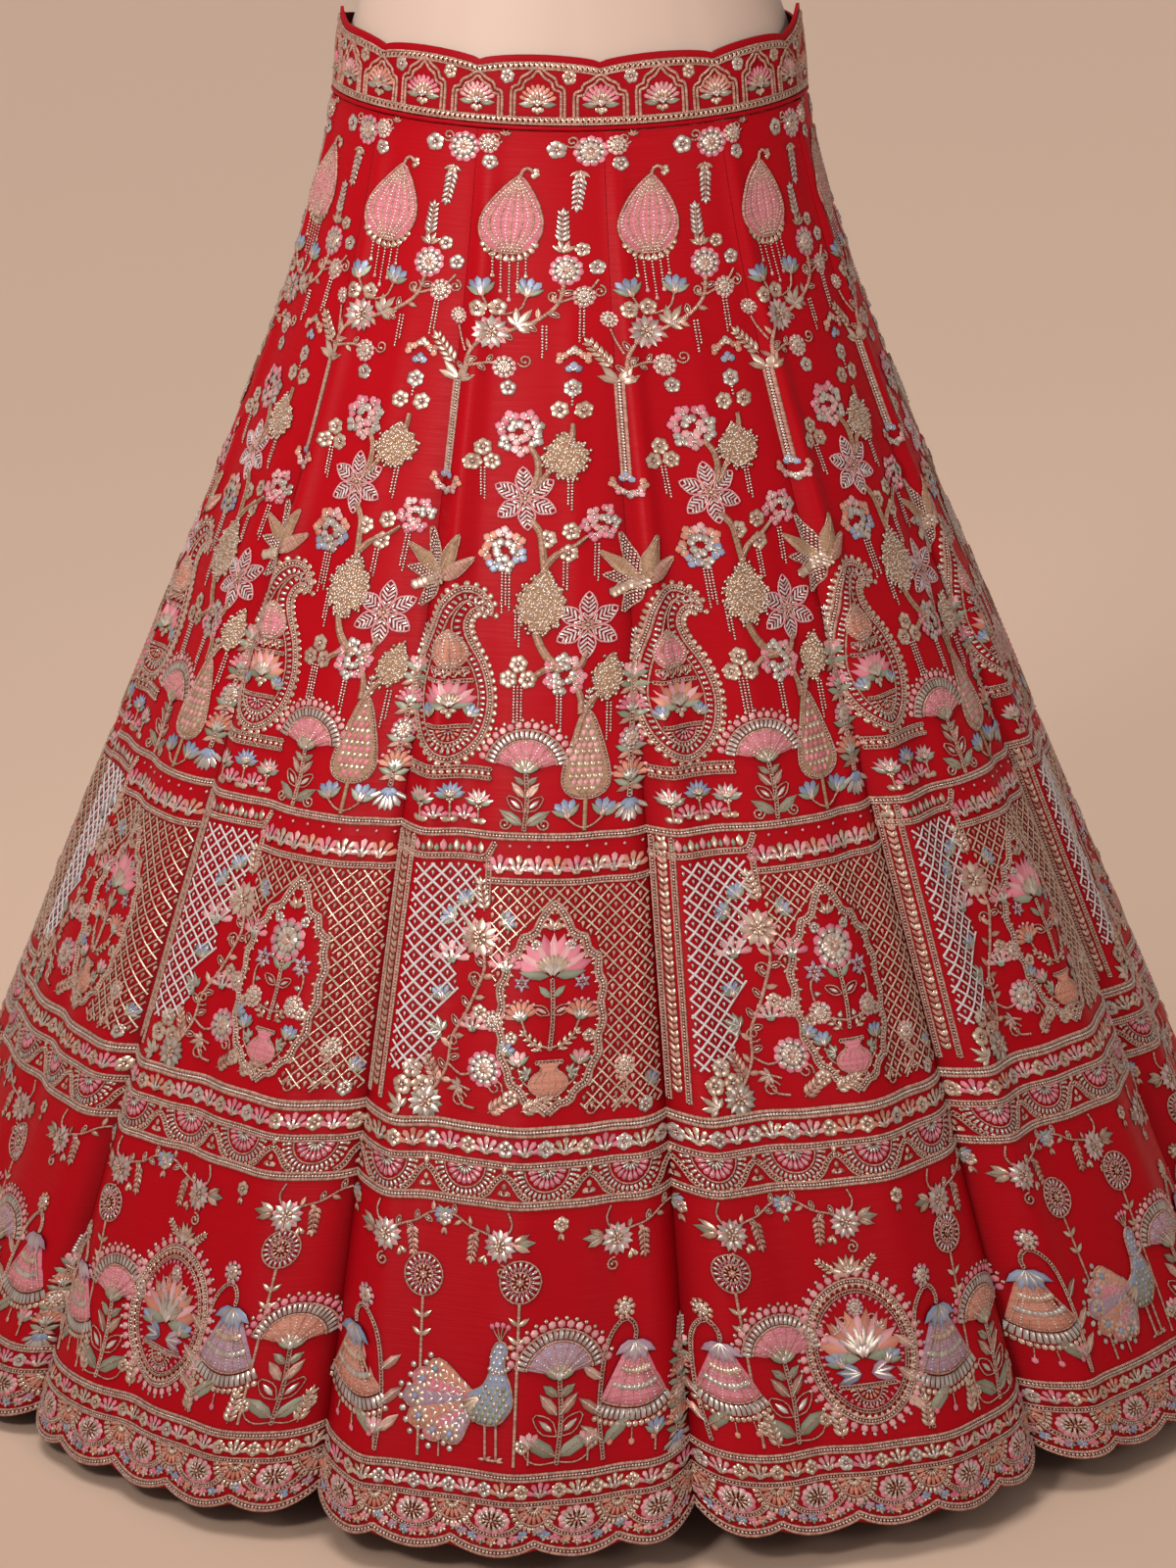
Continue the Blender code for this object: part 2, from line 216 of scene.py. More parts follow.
threadLooks = {  # colour, shade, metallic, roughness, stitch length in mm, spread of tone, twist depth
    "zari": ((0.76, 0.43, 0.32), (0.29, 0.105, 0.072), 0.30, 0.42, 0.9, 0.70, 0.5),
    "dullZari": ((0.54, 0.33, 0.19), (0.23, 0.11, 0.06), 0.30, 0.45, 0.7, 0.6, 0.4),
    "sequin": ((0.84, 0.64, 0.49), (0.40, 0.20, 0.13), 0.50, 0.26, 1.0, 0.6, 0.0),
    "silverSequin": ((0.72, 0.63, 0.56), (0.36, 0.24, 0.20), 0.45, 0.26, 1.0, 0.6, 0.0),
    "bead": ((0.84, 0.74, 0.65), (0.38, 0.20, 0.16), 0.38, 0.24, 1.0, 0.5, 0.0),
    "white": ((0.84, 0.76, 0.74), (0.46, 0.30, 0.30), 0.05, 0.50, 0.8, 0.4, 0.3),
    "pink": ((0.86, 0.27, 0.33), (0.53, 0.11, 0.16), 0.05, 0.48, 0.8, 0.7, 0.4),
    "blush": ((0.86, 0.46, 0.46), (0.56, 0.19, 0.20), 0.15, 0.42, 0.8, 0.7, 0.3),
    "peach": ((0.78, 0.32, 0.21), (0.46, 0.14, 0.09), 0.10, 0.48, 0.8, 0.7, 0.4),
    "blue": ((0.35, 0.40, 0.55), (0.17, 0.19, 0.28), 0.15, 0.42, 0.8, 0.6, 0.3),
    "mauve": ((0.52, 0.33, 0.42), (0.30, 0.15, 0.21), 0.10, 0.46, 0.8, 0.6, 0.4),
    "mint": ((0.36, 0.37, 0.27), (0.19, 0.17, 0.11), 0.20, 0.44, 0.8, 0.6, 0.3),
}
threadNames = list(threadLooks)


def threadFinish(name, colour, shade, metallic, roughness, stitch, spread, depth):
    tone = {"colour": colour, "shade": shade, "Stitch": stitch, "Spread": spread}
    material, tree, shader, _ = newMaterial(name, (stitchTone, tone), roughness, metallic)
    if depth:
        addRelief(tree, shader, useGroup(tree, twist, Pitch=stitch * 1.8)["Height"], depth, 0.0005)
    return material


threads = [threadFinish(name + "Thread", *look) for name, look in threadLooks.items()]
kaliSilk = silkFinish("kaliSilk", (0.455, 0.0024, 0.0080), (0.340, 0.0014, 0.0052))
bandSilk = silkFinish("bandSilk", (0.40, 0.0024, 0.0085), (0.300, 0.0014, 0.0056))
grainLooks = {  # colour, shade, stretch upward, fineness, spread of tone, bump, roughness
    "darkLining": ((0.012, 0.014, 0.026), (0.006, 0.006, 0.012), 1, 900.0, 0.8, 0.3, 0.75),
    "formCover": ((0.64, 0.46, 0.37), (0.58, 0.41, 0.32), 1, 1400.0, 0.7, 0.12, 0.55),
    "capWood": ((0.46, 0.27, 0.13), (0.24, 0.12, 0.05), 9, 26.0, 1.2, 0.2, 0.35),
    "standSteel": ((0.055, 0.055, 0.060), (0.030, 0.030, 0.034), 1, 1800.0, 0.8, 0.25, 0.42),
    "studioFloor": ((0.845, 0.572, 0.418), (0.825, 0.556, 0.406), 1, 60.0, 0.5, 0.03, 0.8),
}
liningCloth, formCover, capWood, standSteel, studioFloor = (
    grainFinish(name, *look) for name, look in grainLooks.items())


def paintFloorShade(tree):
    # painted shade: the floor's colour is made darker on the part under the lamps, so that the floor keeps
    # one tone in view
    shader = tree.nodes["Principled BSDF"].inputs
    where = addNode(tree, "ShaderNodeTexCoord").outputs["Object"]
    away = addNode(tree, "ShaderNodeSeparateXYZ", {0: where}).outputs[1]
    ramp = {0: away, 1: -1.1, 2: 1.1, 3: 0.72, 4: 1.0}  # away, from, to, factor near, factor far
    fade = addNode(tree, "ShaderNodeMapRange", ramp, interpolation_type="SMOOTHSTEP").outputs[0]
    scaleTone(tree, shader, shader["Base Color"].links[0].from_socket, fade)


paintFloorShade(studioFloor.node_tree)
print("finishes made")


# the skirt's form, as in the solids

skirt = {
    "waistHalfWidth": 0.175, "waistHalfDepth": 0.1225, "waistHeight": 0.946, "frontDip": 0.0135,
    "dipPower": 1.5, "kalis": 12, "firstSeam": math.radians(8), "slant": 1.0, "hemRadius": 0.5465,
    "hipHold": 0.65, "hipReach": 0.11, "sway": 0.015, "cloth": 0.0015, "gap": 0.0003, "foldStart": 0.05,
    "foldGrowth": 1.35, "softShare": 0.34, "tuckPower": 7, "scallops": 5, "scallopDepth": 0.0075,
    "scallopRoundness": 0.75, "scallopStart": 0.93, "slopeSteps": 16, "nudge": 0.002,
}
slowWaves = ((3, 0.0060, 0.6), (5, 0.0045, 2.1))  # count, depth, phase
seamDepths = np.array((0.040, 0.034, 0.024, 0.031, 0.037, 0.026, 0.033, 0.039, 0.025, 0.032, 0.028, 0.037))
seamLifts = np.array((0.010, 0.006, 0.003, 0.004, 0.006, 0.003, 0.005, 0.007, 0.003, 0.005, 0.003, 0.008))
kaliAngle = 2 * math.pi / skirt["kalis"]

creaseShape = {
    "depth": 1.25, "fade": 0.16,
    "downTheSkirt": ((0.15, 0.40), (0.7, 0.6), (0.45, 0.75)),  # radius, width, height: at the top, and gain
}
# soft troughs (minus) and ridges: degrees, drift in degrees, from, to, width in m, height in m
creases = (
    (-19, 2, 0.10, 1.1, 0.012, 0.0042), (-13, -2, 0.28, 0.86, 0.016, -0.0040),
    (-6, 1, 0.52, 1.1, 0.020, 0.0050), (0, 2, 0.05, 0.48, 0.010, 0.0020), (3, -1, 0.40, 1.1, 0.015, -0.0045),
    (11, 1, 0.12, 0.95, 0.011, 0.0040), (16, 3, 0.30, 1.1, 0.018, -0.0050),
    (24, -2, 0.06, 0.55, 0.012, 0.0024), (27, 2, 0.50, 1.1, 0.022, 0.0050),
    (33, -1, 0.22, 0.80, 0.012, -0.0036), (41, 2, 0.10, 1.1, 0.012, 0.0038),
    (48, -2, 0.34, 0.92, 0.018, -0.0050), (57, 3, 0.46, 1.1, 0.020, 0.0052),
    (63, -2, 0.16, 0.70, 0.012, -0.0030), (72, 2, 0.30, 1.1, 0.016, 0.0045),
    (83, -3, 0.40, 1.1, 0.020, -0.0050), (91, 2, 0.10, 0.60, 0.012, 0.0026),
    (102, 1, 0.28, 1.1, 0.015, 0.0042), (112, -2, 0.44, 1.1, 0.019, -0.0048),
    (119, 2, 0.12, 0.75, 0.012, 0.0030), (132, -1, 0.30, 1.1, 0.016, 0.0046),
    (141, 3, 0.40, 0.95, 0.020, -0.0050), (150, -2, 0.10, 0.65, 0.011, 0.0026),
    (161, 1, 0.26, 1.1, 0.014, 0.0044), (170, -2, 0.46, 1.1, 0.021, -0.0050),
    (177, 2, 0.10, 0.58, 0.012, 0.0022), (190, -2, 0.32, 1.1, 0.016, 0.0046),
    (201, 3, 0.38, 0.90, 0.019, -0.0050), (209, -1, 0.12, 0.72, 0.012, 0.0030),
    (221, 2, 0.28, 1.1, 0.015, 0.0044), (232, -3, 0.48, 1.1, 0.020, -0.0048),
    (240, 2, 0.10, 0.60, 0.011, 0.0024), (251, -1, 0.26, 1.1, 0.016, 0.0046),
    (262, 2, 0.42, 0.96, 0.020, -0.0050), (272, -2, 0.14, 0.74, 0.013, 0.0030),
    (281, 1, 0.30, 1.1, 0.015, 0.0044), (293, 3, 0.38, 1.1, 0.018, -0.0048),
    (302, -2, 0.08, 0.56, 0.011, 0.0022), (305, 2, 0.48, 1.1, 0.020, 0.0046),
    (312, -1, 0.20, 0.94, 0.013, 0.0038), (319, 2, 0.34, 1.1, 0.018, -0.0046),
    (326, -2, 0.06, 0.50, 0.011, 0.0022), (330, 1, 0.52, 1.1, 0.020, 0.0046),
    (335, -1, 0.24, 0.82, 0.012, -0.0034),
    # a soft ridge beside each seam under the waist
    (10.6, 1, -0.06, 0.52, 0.010, 0.0062), (40.2, 2, -0.06, 0.44, 0.011, 0.0054),
    (70.8, 1, -0.06, 0.56, 0.012, 0.0060), (100.4, 2, -0.06, 0.46, 0.010, 0.0052),
    (130.7, 1, -0.06, 0.50, 0.012, 0.0062), (160.3, 2, -0.06, 0.42, 0.010, 0.0050),
    (190.6, 1, -0.06, 0.54, 0.011, 0.0060), (220.4, 2, -0.06, 0.46, 0.011, 0.0055),
    (250.8, 1, -0.06, 0.50, 0.010, 0.0052), (280.5, 2, -0.06, 0.58, 0.012, 0.0060),
    (311.0, 1, -0.06, 0.46, 0.010, 0.0064), (341.2, 2, -0.06, 0.54, 0.011, 0.0064),
)


def waistSeam(angle):
    dip = skirt["frontDip"] * np.maximum(0, np.cos(angle)) ** skirt["dipPower"]
    x, y = skirt["waistHalfWidth"] * np.sin(angle), -skirt["waistHalfDepth"] * np.cos(angle)
    return np.stack((x, y, skirt["waistHeight"] - dip), axis=-1)


def flareAt(share):
    hold, reach = skirt["hipHold"], skirt["hipReach"]
    whole = 1 - hold * reach * (1 - math.exp(-1 / reach))
    fade = np.exp(-share / reach)
    return (share - hold * reach * (1 - fade)) / whole, (1 - hold * fade) / whole


def grownAt(share):
    return np.maximum(0, (share - skirt["foldStart"]) / (1 - skirt["foldStart"])) ** skirt["foldGrowth"]


def foldAt(angle, share):
    across = (angle - skirt["firstSeam"]) / kaliAngle
    left = np.floor(across)
    place = 2 * (across - left) - 1
    seam = (np.where(place < 0, left, left + 1) % skirt["kalis"]).astype(int)
    tuck = np.abs(place) ** skirt["tuckPower"]
    soft = skirt["softShare"] * place**2 + (1 - skirt["softShare"]) * tuck
    grown = grownAt(share)
    return seamDepths[seam] * soft * grown, seamLifts[seam] * tuck * grown**3


def turnsFrom(angle, middle):
    return (angle - middle + math.pi) % (2 * math.pi) - math.pi


def eased(value):
    value = np.clip(value, 0, 1)
    return value**2 * (3 - 2 * value)


def creaseAt(angle, share):
    radius, spread, growth = (first + gain * share for first, gain in creaseShape["downTheSkirt"])
    fade = creaseShape["fade"]
    rise = np.zeros_like(angle)
    for degrees, drift, start, stop, width, height in creases:
        off = turnsFrom(angle, math.radians(degrees) + math.radians(drift) * (share - start))
        across = np.exp(-((off * radius / width / spread) ** 2))
        ends = eased((share - start) / fade) * eased((stop - share) / fade)
        rise += creaseShape["depth"] * height * growth * ends * across
    return rise


def skirtPoint(angle, share, inward=0.0, folded=True):
    angle, share = np.broadcast_arrays(np.asarray(angle, float), np.asarray(share, float))
    point = waistSeam(angle)
    outX = skirt["hemRadius"] * np.sin(angle) + skirt["sway"] - point[..., 0]
    outY = -skirt["hemRadius"] * np.cos(angle) - point[..., 1]
    run = np.hypot(outX, outY)
    drop = np.zeros_like(share)
    for step in range(skirt["slopeSteps"]):
        rate = flareAt(share * (step + 0.5) / skirt["slopeSteps"])[1]
        drop += share / skirt["slopeSteps"] * np.sqrt(skirt["slant"] ** 2 - (run * rate) ** 2)
    wave = share**2 * sum(depth * np.sin(count * angle + phase) for count, depth, phase in slowWaves)
    depth, lift = foldAt(angle, share) if folded else (0.0, 0.0)
    push = wave - depth - inward + (creaseAt(angle, share) if folded else 0.0)
    flare = flareAt(share)[0]
    point[..., 0] += outX * flare + np.sin(angle) * push
    point[..., 1] += outY * flare - np.cos(angle) * push
    point[..., 2] += lift - drop
    return point


def skirtNormal(angle, share):
    nudge = skirt["nudge"]
    turn = skirtPoint(angle + nudge, share) - skirtPoint(angle - nudge, share)
    down = skirtPoint(angle, share + nudge) - skirtPoint(angle, share - nudge)
    normal = np.cross(down, turn)
    return normal / np.linalg.norm(normal, axis=-1, keepdims=True)


def scallopHang(across):
    waves = np.abs(np.sin(math.pi * skirt["scallops"] * across))
    return skirt["scallopDepth"] * waves ** skirt["scallopRoundness"]


# mean width of a kali down its length, for laying embroidery out in millimetres
widthShares = np.linspace(0.0, 1.0, 26)
allTurns = np.linspace(0, 2 * math.pi, 721)
rings = skirtPoint(allTurns[None, :], widthShares[:, None])
kaliWidths = np.linalg.norm(np.diff(rings, axis=1), axis=-1).sum(axis=1) / skirt["kalis"] * 1000


def widthAt(down):
    return np.interp(down, widthShares * 1000 * skirt["slant"], kaliWidths)


# meshes

sharpTurn = math.radians(60)


def buildMesh(name, points, faces, materials, uvName=None, uv=None, slots=None):
    # faces is an array of four corners; a triangle has -1 as its last
    faces = np.asarray(faces, np.int32)
    corners = faces[faces >= 0]
    mesh = bpy.data.meshes.new(name)
    mesh.vertices.add(len(points))
    mesh.vertices.foreach_set("co", np.asarray(points, np.float32).ravel())
    mesh.loops.add(len(corners))
    mesh.loops.foreach_set("vertex_index", corners)
    mesh.polygons.add(len(faces))
    starts = np.cumsum((faces >= 0).sum(axis=1))
    mesh.polygons.foreach_set("loop_start", np.append(0, starts[:-1]).astype(np.int32))
    mesh.polygons.foreach_set("use_smooth", np.ones(len(faces), bool))
    for material in materials:
        mesh.materials.append(material)
    if slots is not None:
        mesh.polygons.foreach_set("material_index", np.asarray(slots, np.int32))
    if uv is not None:
        layer = mesh.uv_layers.new(name=uvName)
        layer.data.foreach_set("uv", np.asarray(uv, np.float32)[corners].ravel())
    mesh.update(calc_edges=True)
    mesh.validate()
    piece = bpy.data.objects.new(name, mesh)
    bpy.context.scene.collection.objects.link(piece)
    return piece


def gridFaces(rows, columns, ring=False, start=0):
    r, c = np.meshgrid(np.arange(rows - 1), np.arange(columns if ring else columns - 1), indexing="ij")
    after = (c + 1) % columns
    here = start + r * columns
    corners = (here + c, here + columns + c, here + columns + after, here + after)
    return np.stack(corners, axis=-1).reshape(-1, 4)


def carry(piece, slot, *nodes):
    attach(piece, "root")
    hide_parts(*nodes)
    return piece


def shellFrom(name, outer, inner, material, uv, ring=False):
    # a thin closed wall between two grids of points
    rows, columns = outer.shape[:2]
    size = rows * columns
    faces = [gridFaces(rows, columns, ring), gridFaces(rows, columns, ring, size)[:, ::-1]]
    rims = [(np.arange(columns), 1), (size - columns + np.arange(columns), -1)]
    if ring:
        rims = [(np.append(line, line[0]), way) for line, way in rims]
    else:
        rims += [(np.arange(0, size, columns), -1), (np.arange(columns - 1, size, columns), 1)]
    for line, way in rims:
        a, b = line[:-1], line[1:]
        faces.append(np.column_stack((a, b, b + size, a + size))[:, ::way])
    points = np.concatenate((outer.reshape(-1, 3), inner.reshape(-1, 3)))
    uv = np.tile(uv.reshape(-1, 2), (2, 1))
    piece = buildMesh(name, points, np.concatenate(faces), [material], "cloth", uv)
    piece.data.set_sharp_from_angle(angle=sharpTurn)
    return piece


def endCaps(rows, columns):
    # fans that close a tube; their middles follow its last point
    caps = []
    for k, start in enumerate((0, (rows - 1) * columns)):
        around = start + np.arange(columns)
        pair = (around, np.roll(around, -1)) if k else (np.roll(around, -1), around)
        caps.append(np.column_stack((*pair, np.full(columns, rows * columns + k), np.full(columns, -1))))
    return np.concatenate(caps)


# kalis

kaliMesh = {"columns": 34, "rows": 46, "hemRows": 6, "evenShare": 0.6, "top": 0.0043, "crowding": 1.1}


def kaliGrid(number):
    u = np.linspace(-1, 1, kaliMesh["columns"] + 1)
    place = kaliMesh["evenShare"] * u + (1 - kaliMesh["evenShare"]) * np.sin(math.pi / 2 * u)
    across = (place + 1) / 2
    top, start = kaliMesh["top"], skirt["scallopStart"]
    upper = top + (start - top) * np.linspace(0, 1, kaliMesh["rows"]) ** kaliMesh["crowding"]
    shares = np.concatenate((upper, np.linspace(start, 1, kaliMesh["hemRows"] + 1)[1:]))
    follow = np.clip((shares - start) / (1 - start), 0, 1)
    share = shares[:, None] + follow[:, None] * scallopHang(across)[None, :]
    angle = skirt["firstSeam"] + (number - 1 + across) * kaliAngle
    return np.broadcast_to(angle[None, :], share.shape), share, across


def makeKali(number):
    angle, share, across = kaliGrid(number)
    outer = skirtPoint(angle, share)
    normal = skirtNormal(angle, share)
    for column, other in ((0, 1), (-1, -2)):
        step = outer[:, other] - outer[:, column]
        outer[:, column] += step / np.linalg.norm(step, axis=-1, keepdims=True) * skirt["gap"] / 2
    normal[:, 0] = normal[:, 1]
    normal[:, -1] = normal[:, -2]
    inner = outer - normal * skirt["cloth"]
    width = widthAt(share * 1000) / 1000
    uv = np.stack(((across - 0.5)[None, :] * width + number, -share), axis=-1)
    shell = shellFrom(f"kaliSilk_{number:02d}", outer, inner, kaliSilk, uv)
    return carry(shell, "red_silk", f"kali_{number:02d}")


kalis = [makeKali(number) for number in range(1, skirt["kalis"] + 1)]
print("kalis made")


# waistband and piping

band = {
    "height": 0.044, "cloth": 0.0022, "lean": 0.006, "scallops": 12, "scallop": 0.0055,
    "scallopFrom": math.radians(7.5), "roundness": 0.6, "peak": 0.011, "peakAngle": math.radians(85),
    "peakWidth": math.radians(7), "arches": 24, "columns": 120, "rows": 8, "pipingRadius": 0.002,
    "pipingSides": 10, "pipingTwist": 0.06, "pipingTurns": 190, "ripple": 0.0006, "ripples": 17,
    "rippleLean": 40, "rippleHeight": 0.05, "meanRadius": 0.15,
}


def bandTop(angle):
    off = (np.abs(turnsFrom(angle, 0)) - band["peakAngle"]) / band["peakWidth"]
    peak = band["peak"] * np.exp(-(off**2))
    bulge = np.abs(np.sin(band["scallops"] * (angle - band["scallopFrom"]) / 2)) ** band["roundness"]
    return band["height"] + band["scallop"] * bulge + peak


def waistSide(angle):
    # unit vectors out of the waist, level
    x, y = skirt["waistHalfDepth"] * np.sin(angle), -skirt["waistHalfWidth"] * np.cos(angle)
    side = np.stack((x, y, 0 * angle), axis=-1)
    return side / np.linalg.norm(side, axis=-1, keepdims=True)


def bandPoint(angle, up, out=0.0):
    # up in metres above the waist seam, out in metres from the band's outer face
    lean = band["lean"] * up / bandTop(angle)
    ripple = band["ripple"] * np.sin(band["ripples"] * angle + band["rippleLean"] * up)
    ripple = ripple * np.sin(np.clip(up / band["rippleHeight"], 0, 1) * math.pi)
    inX, inY = 1 - lean / skirt["waistHalfWidth"], 1 - lean / skirt["waistHalfDepth"]
    drawn = np.stack((inX, inY, np.ones_like(lean)), axis=-1)
    point = waistSeam(angle) * drawn + waistSide(angle) * (out + ripple)[..., None]
    point[..., 2] += up
    return point


def halfTurns(start, columns):
    trim = skirt["gap"] / 2 / skirt["waistHalfDepth"]
    return np.linspace(start + trim, start + math.pi - trim, columns + 1)


def makeBandHalf(name, start, node):
    angle = halfTurns(start, band["columns"])[None, :]
    rise = np.linspace(1, 0, band["rows"] + 1)[:, None]
    up = skirt["gap"] + (bandTop(angle) - skirt["gap"]) * rise
    angle = np.broadcast_to(angle, up.shape)
    uv = np.stack((angle * band["meanRadius"], up), axis=-1)
    shell = shellFrom(name, bandPoint(angle, up), bandPoint(angle, up, -band["cloth"]), bandSilk, uv)
    piece = carry(shell, "waistband_silk", node)


def makePipingHalf(name, start, node):
    turns = halfTurns(start, band["columns"])
    path = waistSeam(turns)
    path[:, 2] -= band["pipingRadius"]
    rings = []
    for k in range(band["pipingSides"]):
        a = 2 * math.pi * k / band["pipingSides"]
        radius = band["pipingRadius"] * (1 + band["pipingTwist"] * np.sin(turns * band["pipingTurns"] + k))
        ring = path + waistSide(turns) * (math.cos(a) * radius)[:, None]
        ring[:, 2] += math.sin(a) * radius
        rings.append(ring)
    size = (len(turns), len(rings))
    points = np.concatenate((np.stack(rings, axis=1).reshape(-1, 3), path[[0, -1]]))
    faces = np.concatenate((gridFaces(*size, ring=True), endCaps(*size)))
    uv = np.stack((points[:, 0] + points[:, 1], points[:, 2]), axis=-1)
    return carry(buildMesh(name, points, faces, [bandSilk], "cloth", uv), "red_silk", node)


for name, start in (("Front", -math.pi / 2), ("Back", math.pi / 2)):
    makeBandHalf("band" + name, start, "waistband_" + name.lower())
    makePipingHalf("piping" + name, start, "waist_piping_" + name.lower())
print("waistband made")


# lining

liningShape = {
    "bottom": 0.975, "top": 0.0572, "clearance": 0.004, "cloth": 0.0012, "columns": 120, "rows": 26,
    "settling": 0.12, "flareGap": 0.002, "meanRadius": 0.5,
    "waves": ((24, 0.0022, 3, 0), (11, 0.0018, 0, 1.3)),  # count, depth, lean, phase
}


def makeLining():
    angle = np.linspace(0, 2 * math.pi, liningShape["columns"], endpoint=False)[None, :]
    share = np.linspace(liningShape["top"], liningShape["bottom"], liningShape["rows"])[:, None]
    angle, share = np.broadcast_arrays(angle, share)
    begin = np.clip((share - liningShape["top"]) / liningShape["settling"], 0, 1)
    clearance = 2 * skirt["gap"] + (liningShape["clearance"] - 2 * skirt["gap"]) * begin
    fine, broad = (
        depth * np.sin(count * angle + lean * share + phase) * share
        for count, depth, lean, phase in liningShape["waves"])
    soft = fine * begin + broad
    inward = skirt["cloth"] + clearance + seamDepths.max() * grownAt(share)
    inward = inward + soft + liningShape["flareGap"] * share
    outer = skirtPoint(angle, share, inward, folded=False)
    inner = skirtPoint(angle, share, inward + liningShape["cloth"], folded=False)
    uv = np.stack((angle * liningShape["meanRadius"], share), axis=-1)
    shell = shellFrom("liningSkirt", outer, inner, liningCloth, uv, ring=True)
    piece = carry(shell, "lining_cloth", *[f"lining_{number:02d}" for number in range(1, skirt["kalis"] + 1)])


makeLining()
print("lining made")


# dress form and stand

torsoSections = np.array((  # height, half width, half depth, forward
    (0.715, 0.138, 0.096, 0.000), (0.735, 0.156, 0.110, 0.000), (0.790, 0.172, 0.120, 0.000),
    (0.850, 0.178, 0.122, 0.000), (0.900, 0.1755, 0.1185, 0.000), (0.946, 0.1723, 0.116, 0.000),
    (1.000, 0.158, 0.105, 0.001), (1.040, 0.142, 0.097, 0.002), (1.085, 0.129, 0.089, 0.003),
    (1.130, 0.134, 0.095, 0.006), (1.190, 0.149, 0.108, 0.013), (1.245, 0.158, 0.119, 0.018),
    (1.295, 0.160, 0.112, 0.013), (1.345, 0.164, 0.098, 0.004), (1.385, 0.163, 0.083, -0.002),
    (1.412, 0.140, 0.072, -0.005), (1.430, 0.106, 0.064, -0.005), (1.446, 0.077, 0.058, -0.003),
    (1.468, 0.060, 0.054, 0.000), (1.510, 0.0545, 0.0525, 0.003),
))
torsoMesh = {
    "columns": 96, "rows": 96, "seams": (0, 34, 146, 180, 214, 326), "seamDepth": 0.0007,
    "seamWidth": 0.00256, "sharpTurn": math.radians(50),
}


def smoothColumn(at, values, where):
    # a curve through the sections that never overshoots them
    slope = np.diff(values) / np.diff(at)
    before, after = slope[:-1], slope[1:]
    both = np.where(before + after == 0, 1, before + after)
    inner = np.where(before * after > 0, 2 * before * after / both, 0)
    tangent = np.concatenate((slope[:1], inner, slope[-1:]))
    i = np.clip(np.searchsorted(at, where) - 1, 0, len(at) - 2)
    step = at[i + 1] - at[i]
    t = (where - at[i]) / step
    return ((1 + 2 * t) * (1 - t) ** 2 * values[i] + t * (1 - t) ** 2 * step * tangent[i]
            + t**2 * (3 - 2 * t) * values[i + 1] + t**2 * (t - 1) * step * tangent[i + 1])


def makeTorso():
    heights = np.linspace(torsoSections[0, 0], torsoSections[-1, 0], torsoMesh["rows"])
    at, *columns = torsoSections.T
    width, depth, forward = (smoothColumn(at, column, heights) for column in columns)
    angle = np.linspace(0, 2 * math.pi, torsoMesh["columns"], endpoint=False)
    inset = np.zeros((len(heights), len(angle)))
    for seam in torsoMesh["seams"]:
        off = turnsFrom(angle, math.radians(seam)) * width[:, None]
        inset += torsoMesh["seamDepth"] * np.exp(-((off / torsoMesh["seamWidth"]) ** 2))
    x = (width[:, None] - inset) * np.sin(angle)
    y = -(depth[:, None] - inset) * np.cos(angle) - forward[:, None]
    points = np.stack((x, y, np.broadcast_to(heights[:, None], x.shape)), axis=-1).reshape(-1, 3)
    ends = np.column_stack(((0, 0), -forward[[0, -1]], heights[[0, -1]]))
    faces = np.concatenate((gridFaces(*x.shape, ring=True)[:, ::-1], endCaps(*x.shape)))
    piece = buildMesh("formTorso", np.concatenate((points, ends)), faces, [formCover])
    piece.data.set_sharp_from_angle(angle=torsoMesh["sharpTurn"])
    carry(piece, "form_cloth", "form_torso")


makeTorso()
for node, material in (("form_neck_cap", capWood), ("form_pole", standSteel), ("form_base", standSteel)):
    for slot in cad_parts[node].material_slots:
        slot.material = material
print("form and stand dressed")


# camera, floor and light

studio = {
    "cameraPlace": (0.0133, -3.2, 1.396), "pitch": 17.26, "lens": 98.78, "sensor": 36, "farthest": 60,
    "world": (1.0, 0.985, 0.97, 1), "worldStrength": 0.30, "sunTurn": (-8, -10, 0), "sunPower": 1.15,
    "sunSpread": 25, "lampSize": 0.5,
    "floorCorners": ((-14, -14, 0), (14, -14, 0), (14, 22, 0), (-14, 22, 0)),
}

lamps = (  # name, place, target, power, spread, colour
    ("keyLight", (-1.1, -2.1, 2.0), (0, 0, 0.98), 8.4, 74, (1.0, 0.97, 0.94)),
    ("fillLight", (1.5, -2.2, 1.5), (0, 0, 1.0), 2, 80, (1.0, 0.98, 0.96)),
)


def place(name, data, where, turn):
    holder = bpy.data.objects.new(name, data)
    holder.location, holder.rotation_euler = where, turn
    bpy.context.scene.collection.objects.link(holder)
    return holder


def addLamp(name, where, target, power, spread, colour):
    lamp = bpy.data.lights.new(name, "AREA")
    lamp.size, lamp.energy, lamp.spread, lamp.color = studio["lampSize"], power, math.radians(spread), colour
    place(name, lamp, where, (Vector(target) - Vector(where)).to_track_quat("-Z", "Y").to_euler())


scene = bpy.context.scene
view = bpy.data.cameras.new("camera")
view.lens, view.sensor_width, view.clip_end = studio["lens"], studio["sensor"], studio["farthest"]
scene.camera = place("camera", view, studio["cameraPlace"], (math.radians(90 - studio["pitch"]), 0, 0))
scene.world = bpy.data.worlds.new("studioWorld")
scene.world.use_nodes = True
sky = scene.world.node_tree.nodes["Background"].inputs
feed(sky["Color"], studio["world"])
feed(sky["Strength"], studio["worldStrength"])
scene.view_settings.view_transform = "Standard"

sun = bpy.data.lights.new("sunLight", "SUN")
sun.energy, sun.angle = studio["sunPower"], math.radians(studio["sunSpread"])
place("sunLight", sun, (0, 0, 0), [math.radians(turn) for turn in studio["sunTurn"]])
for lamp in lamps:
    addLamp(*lamp)

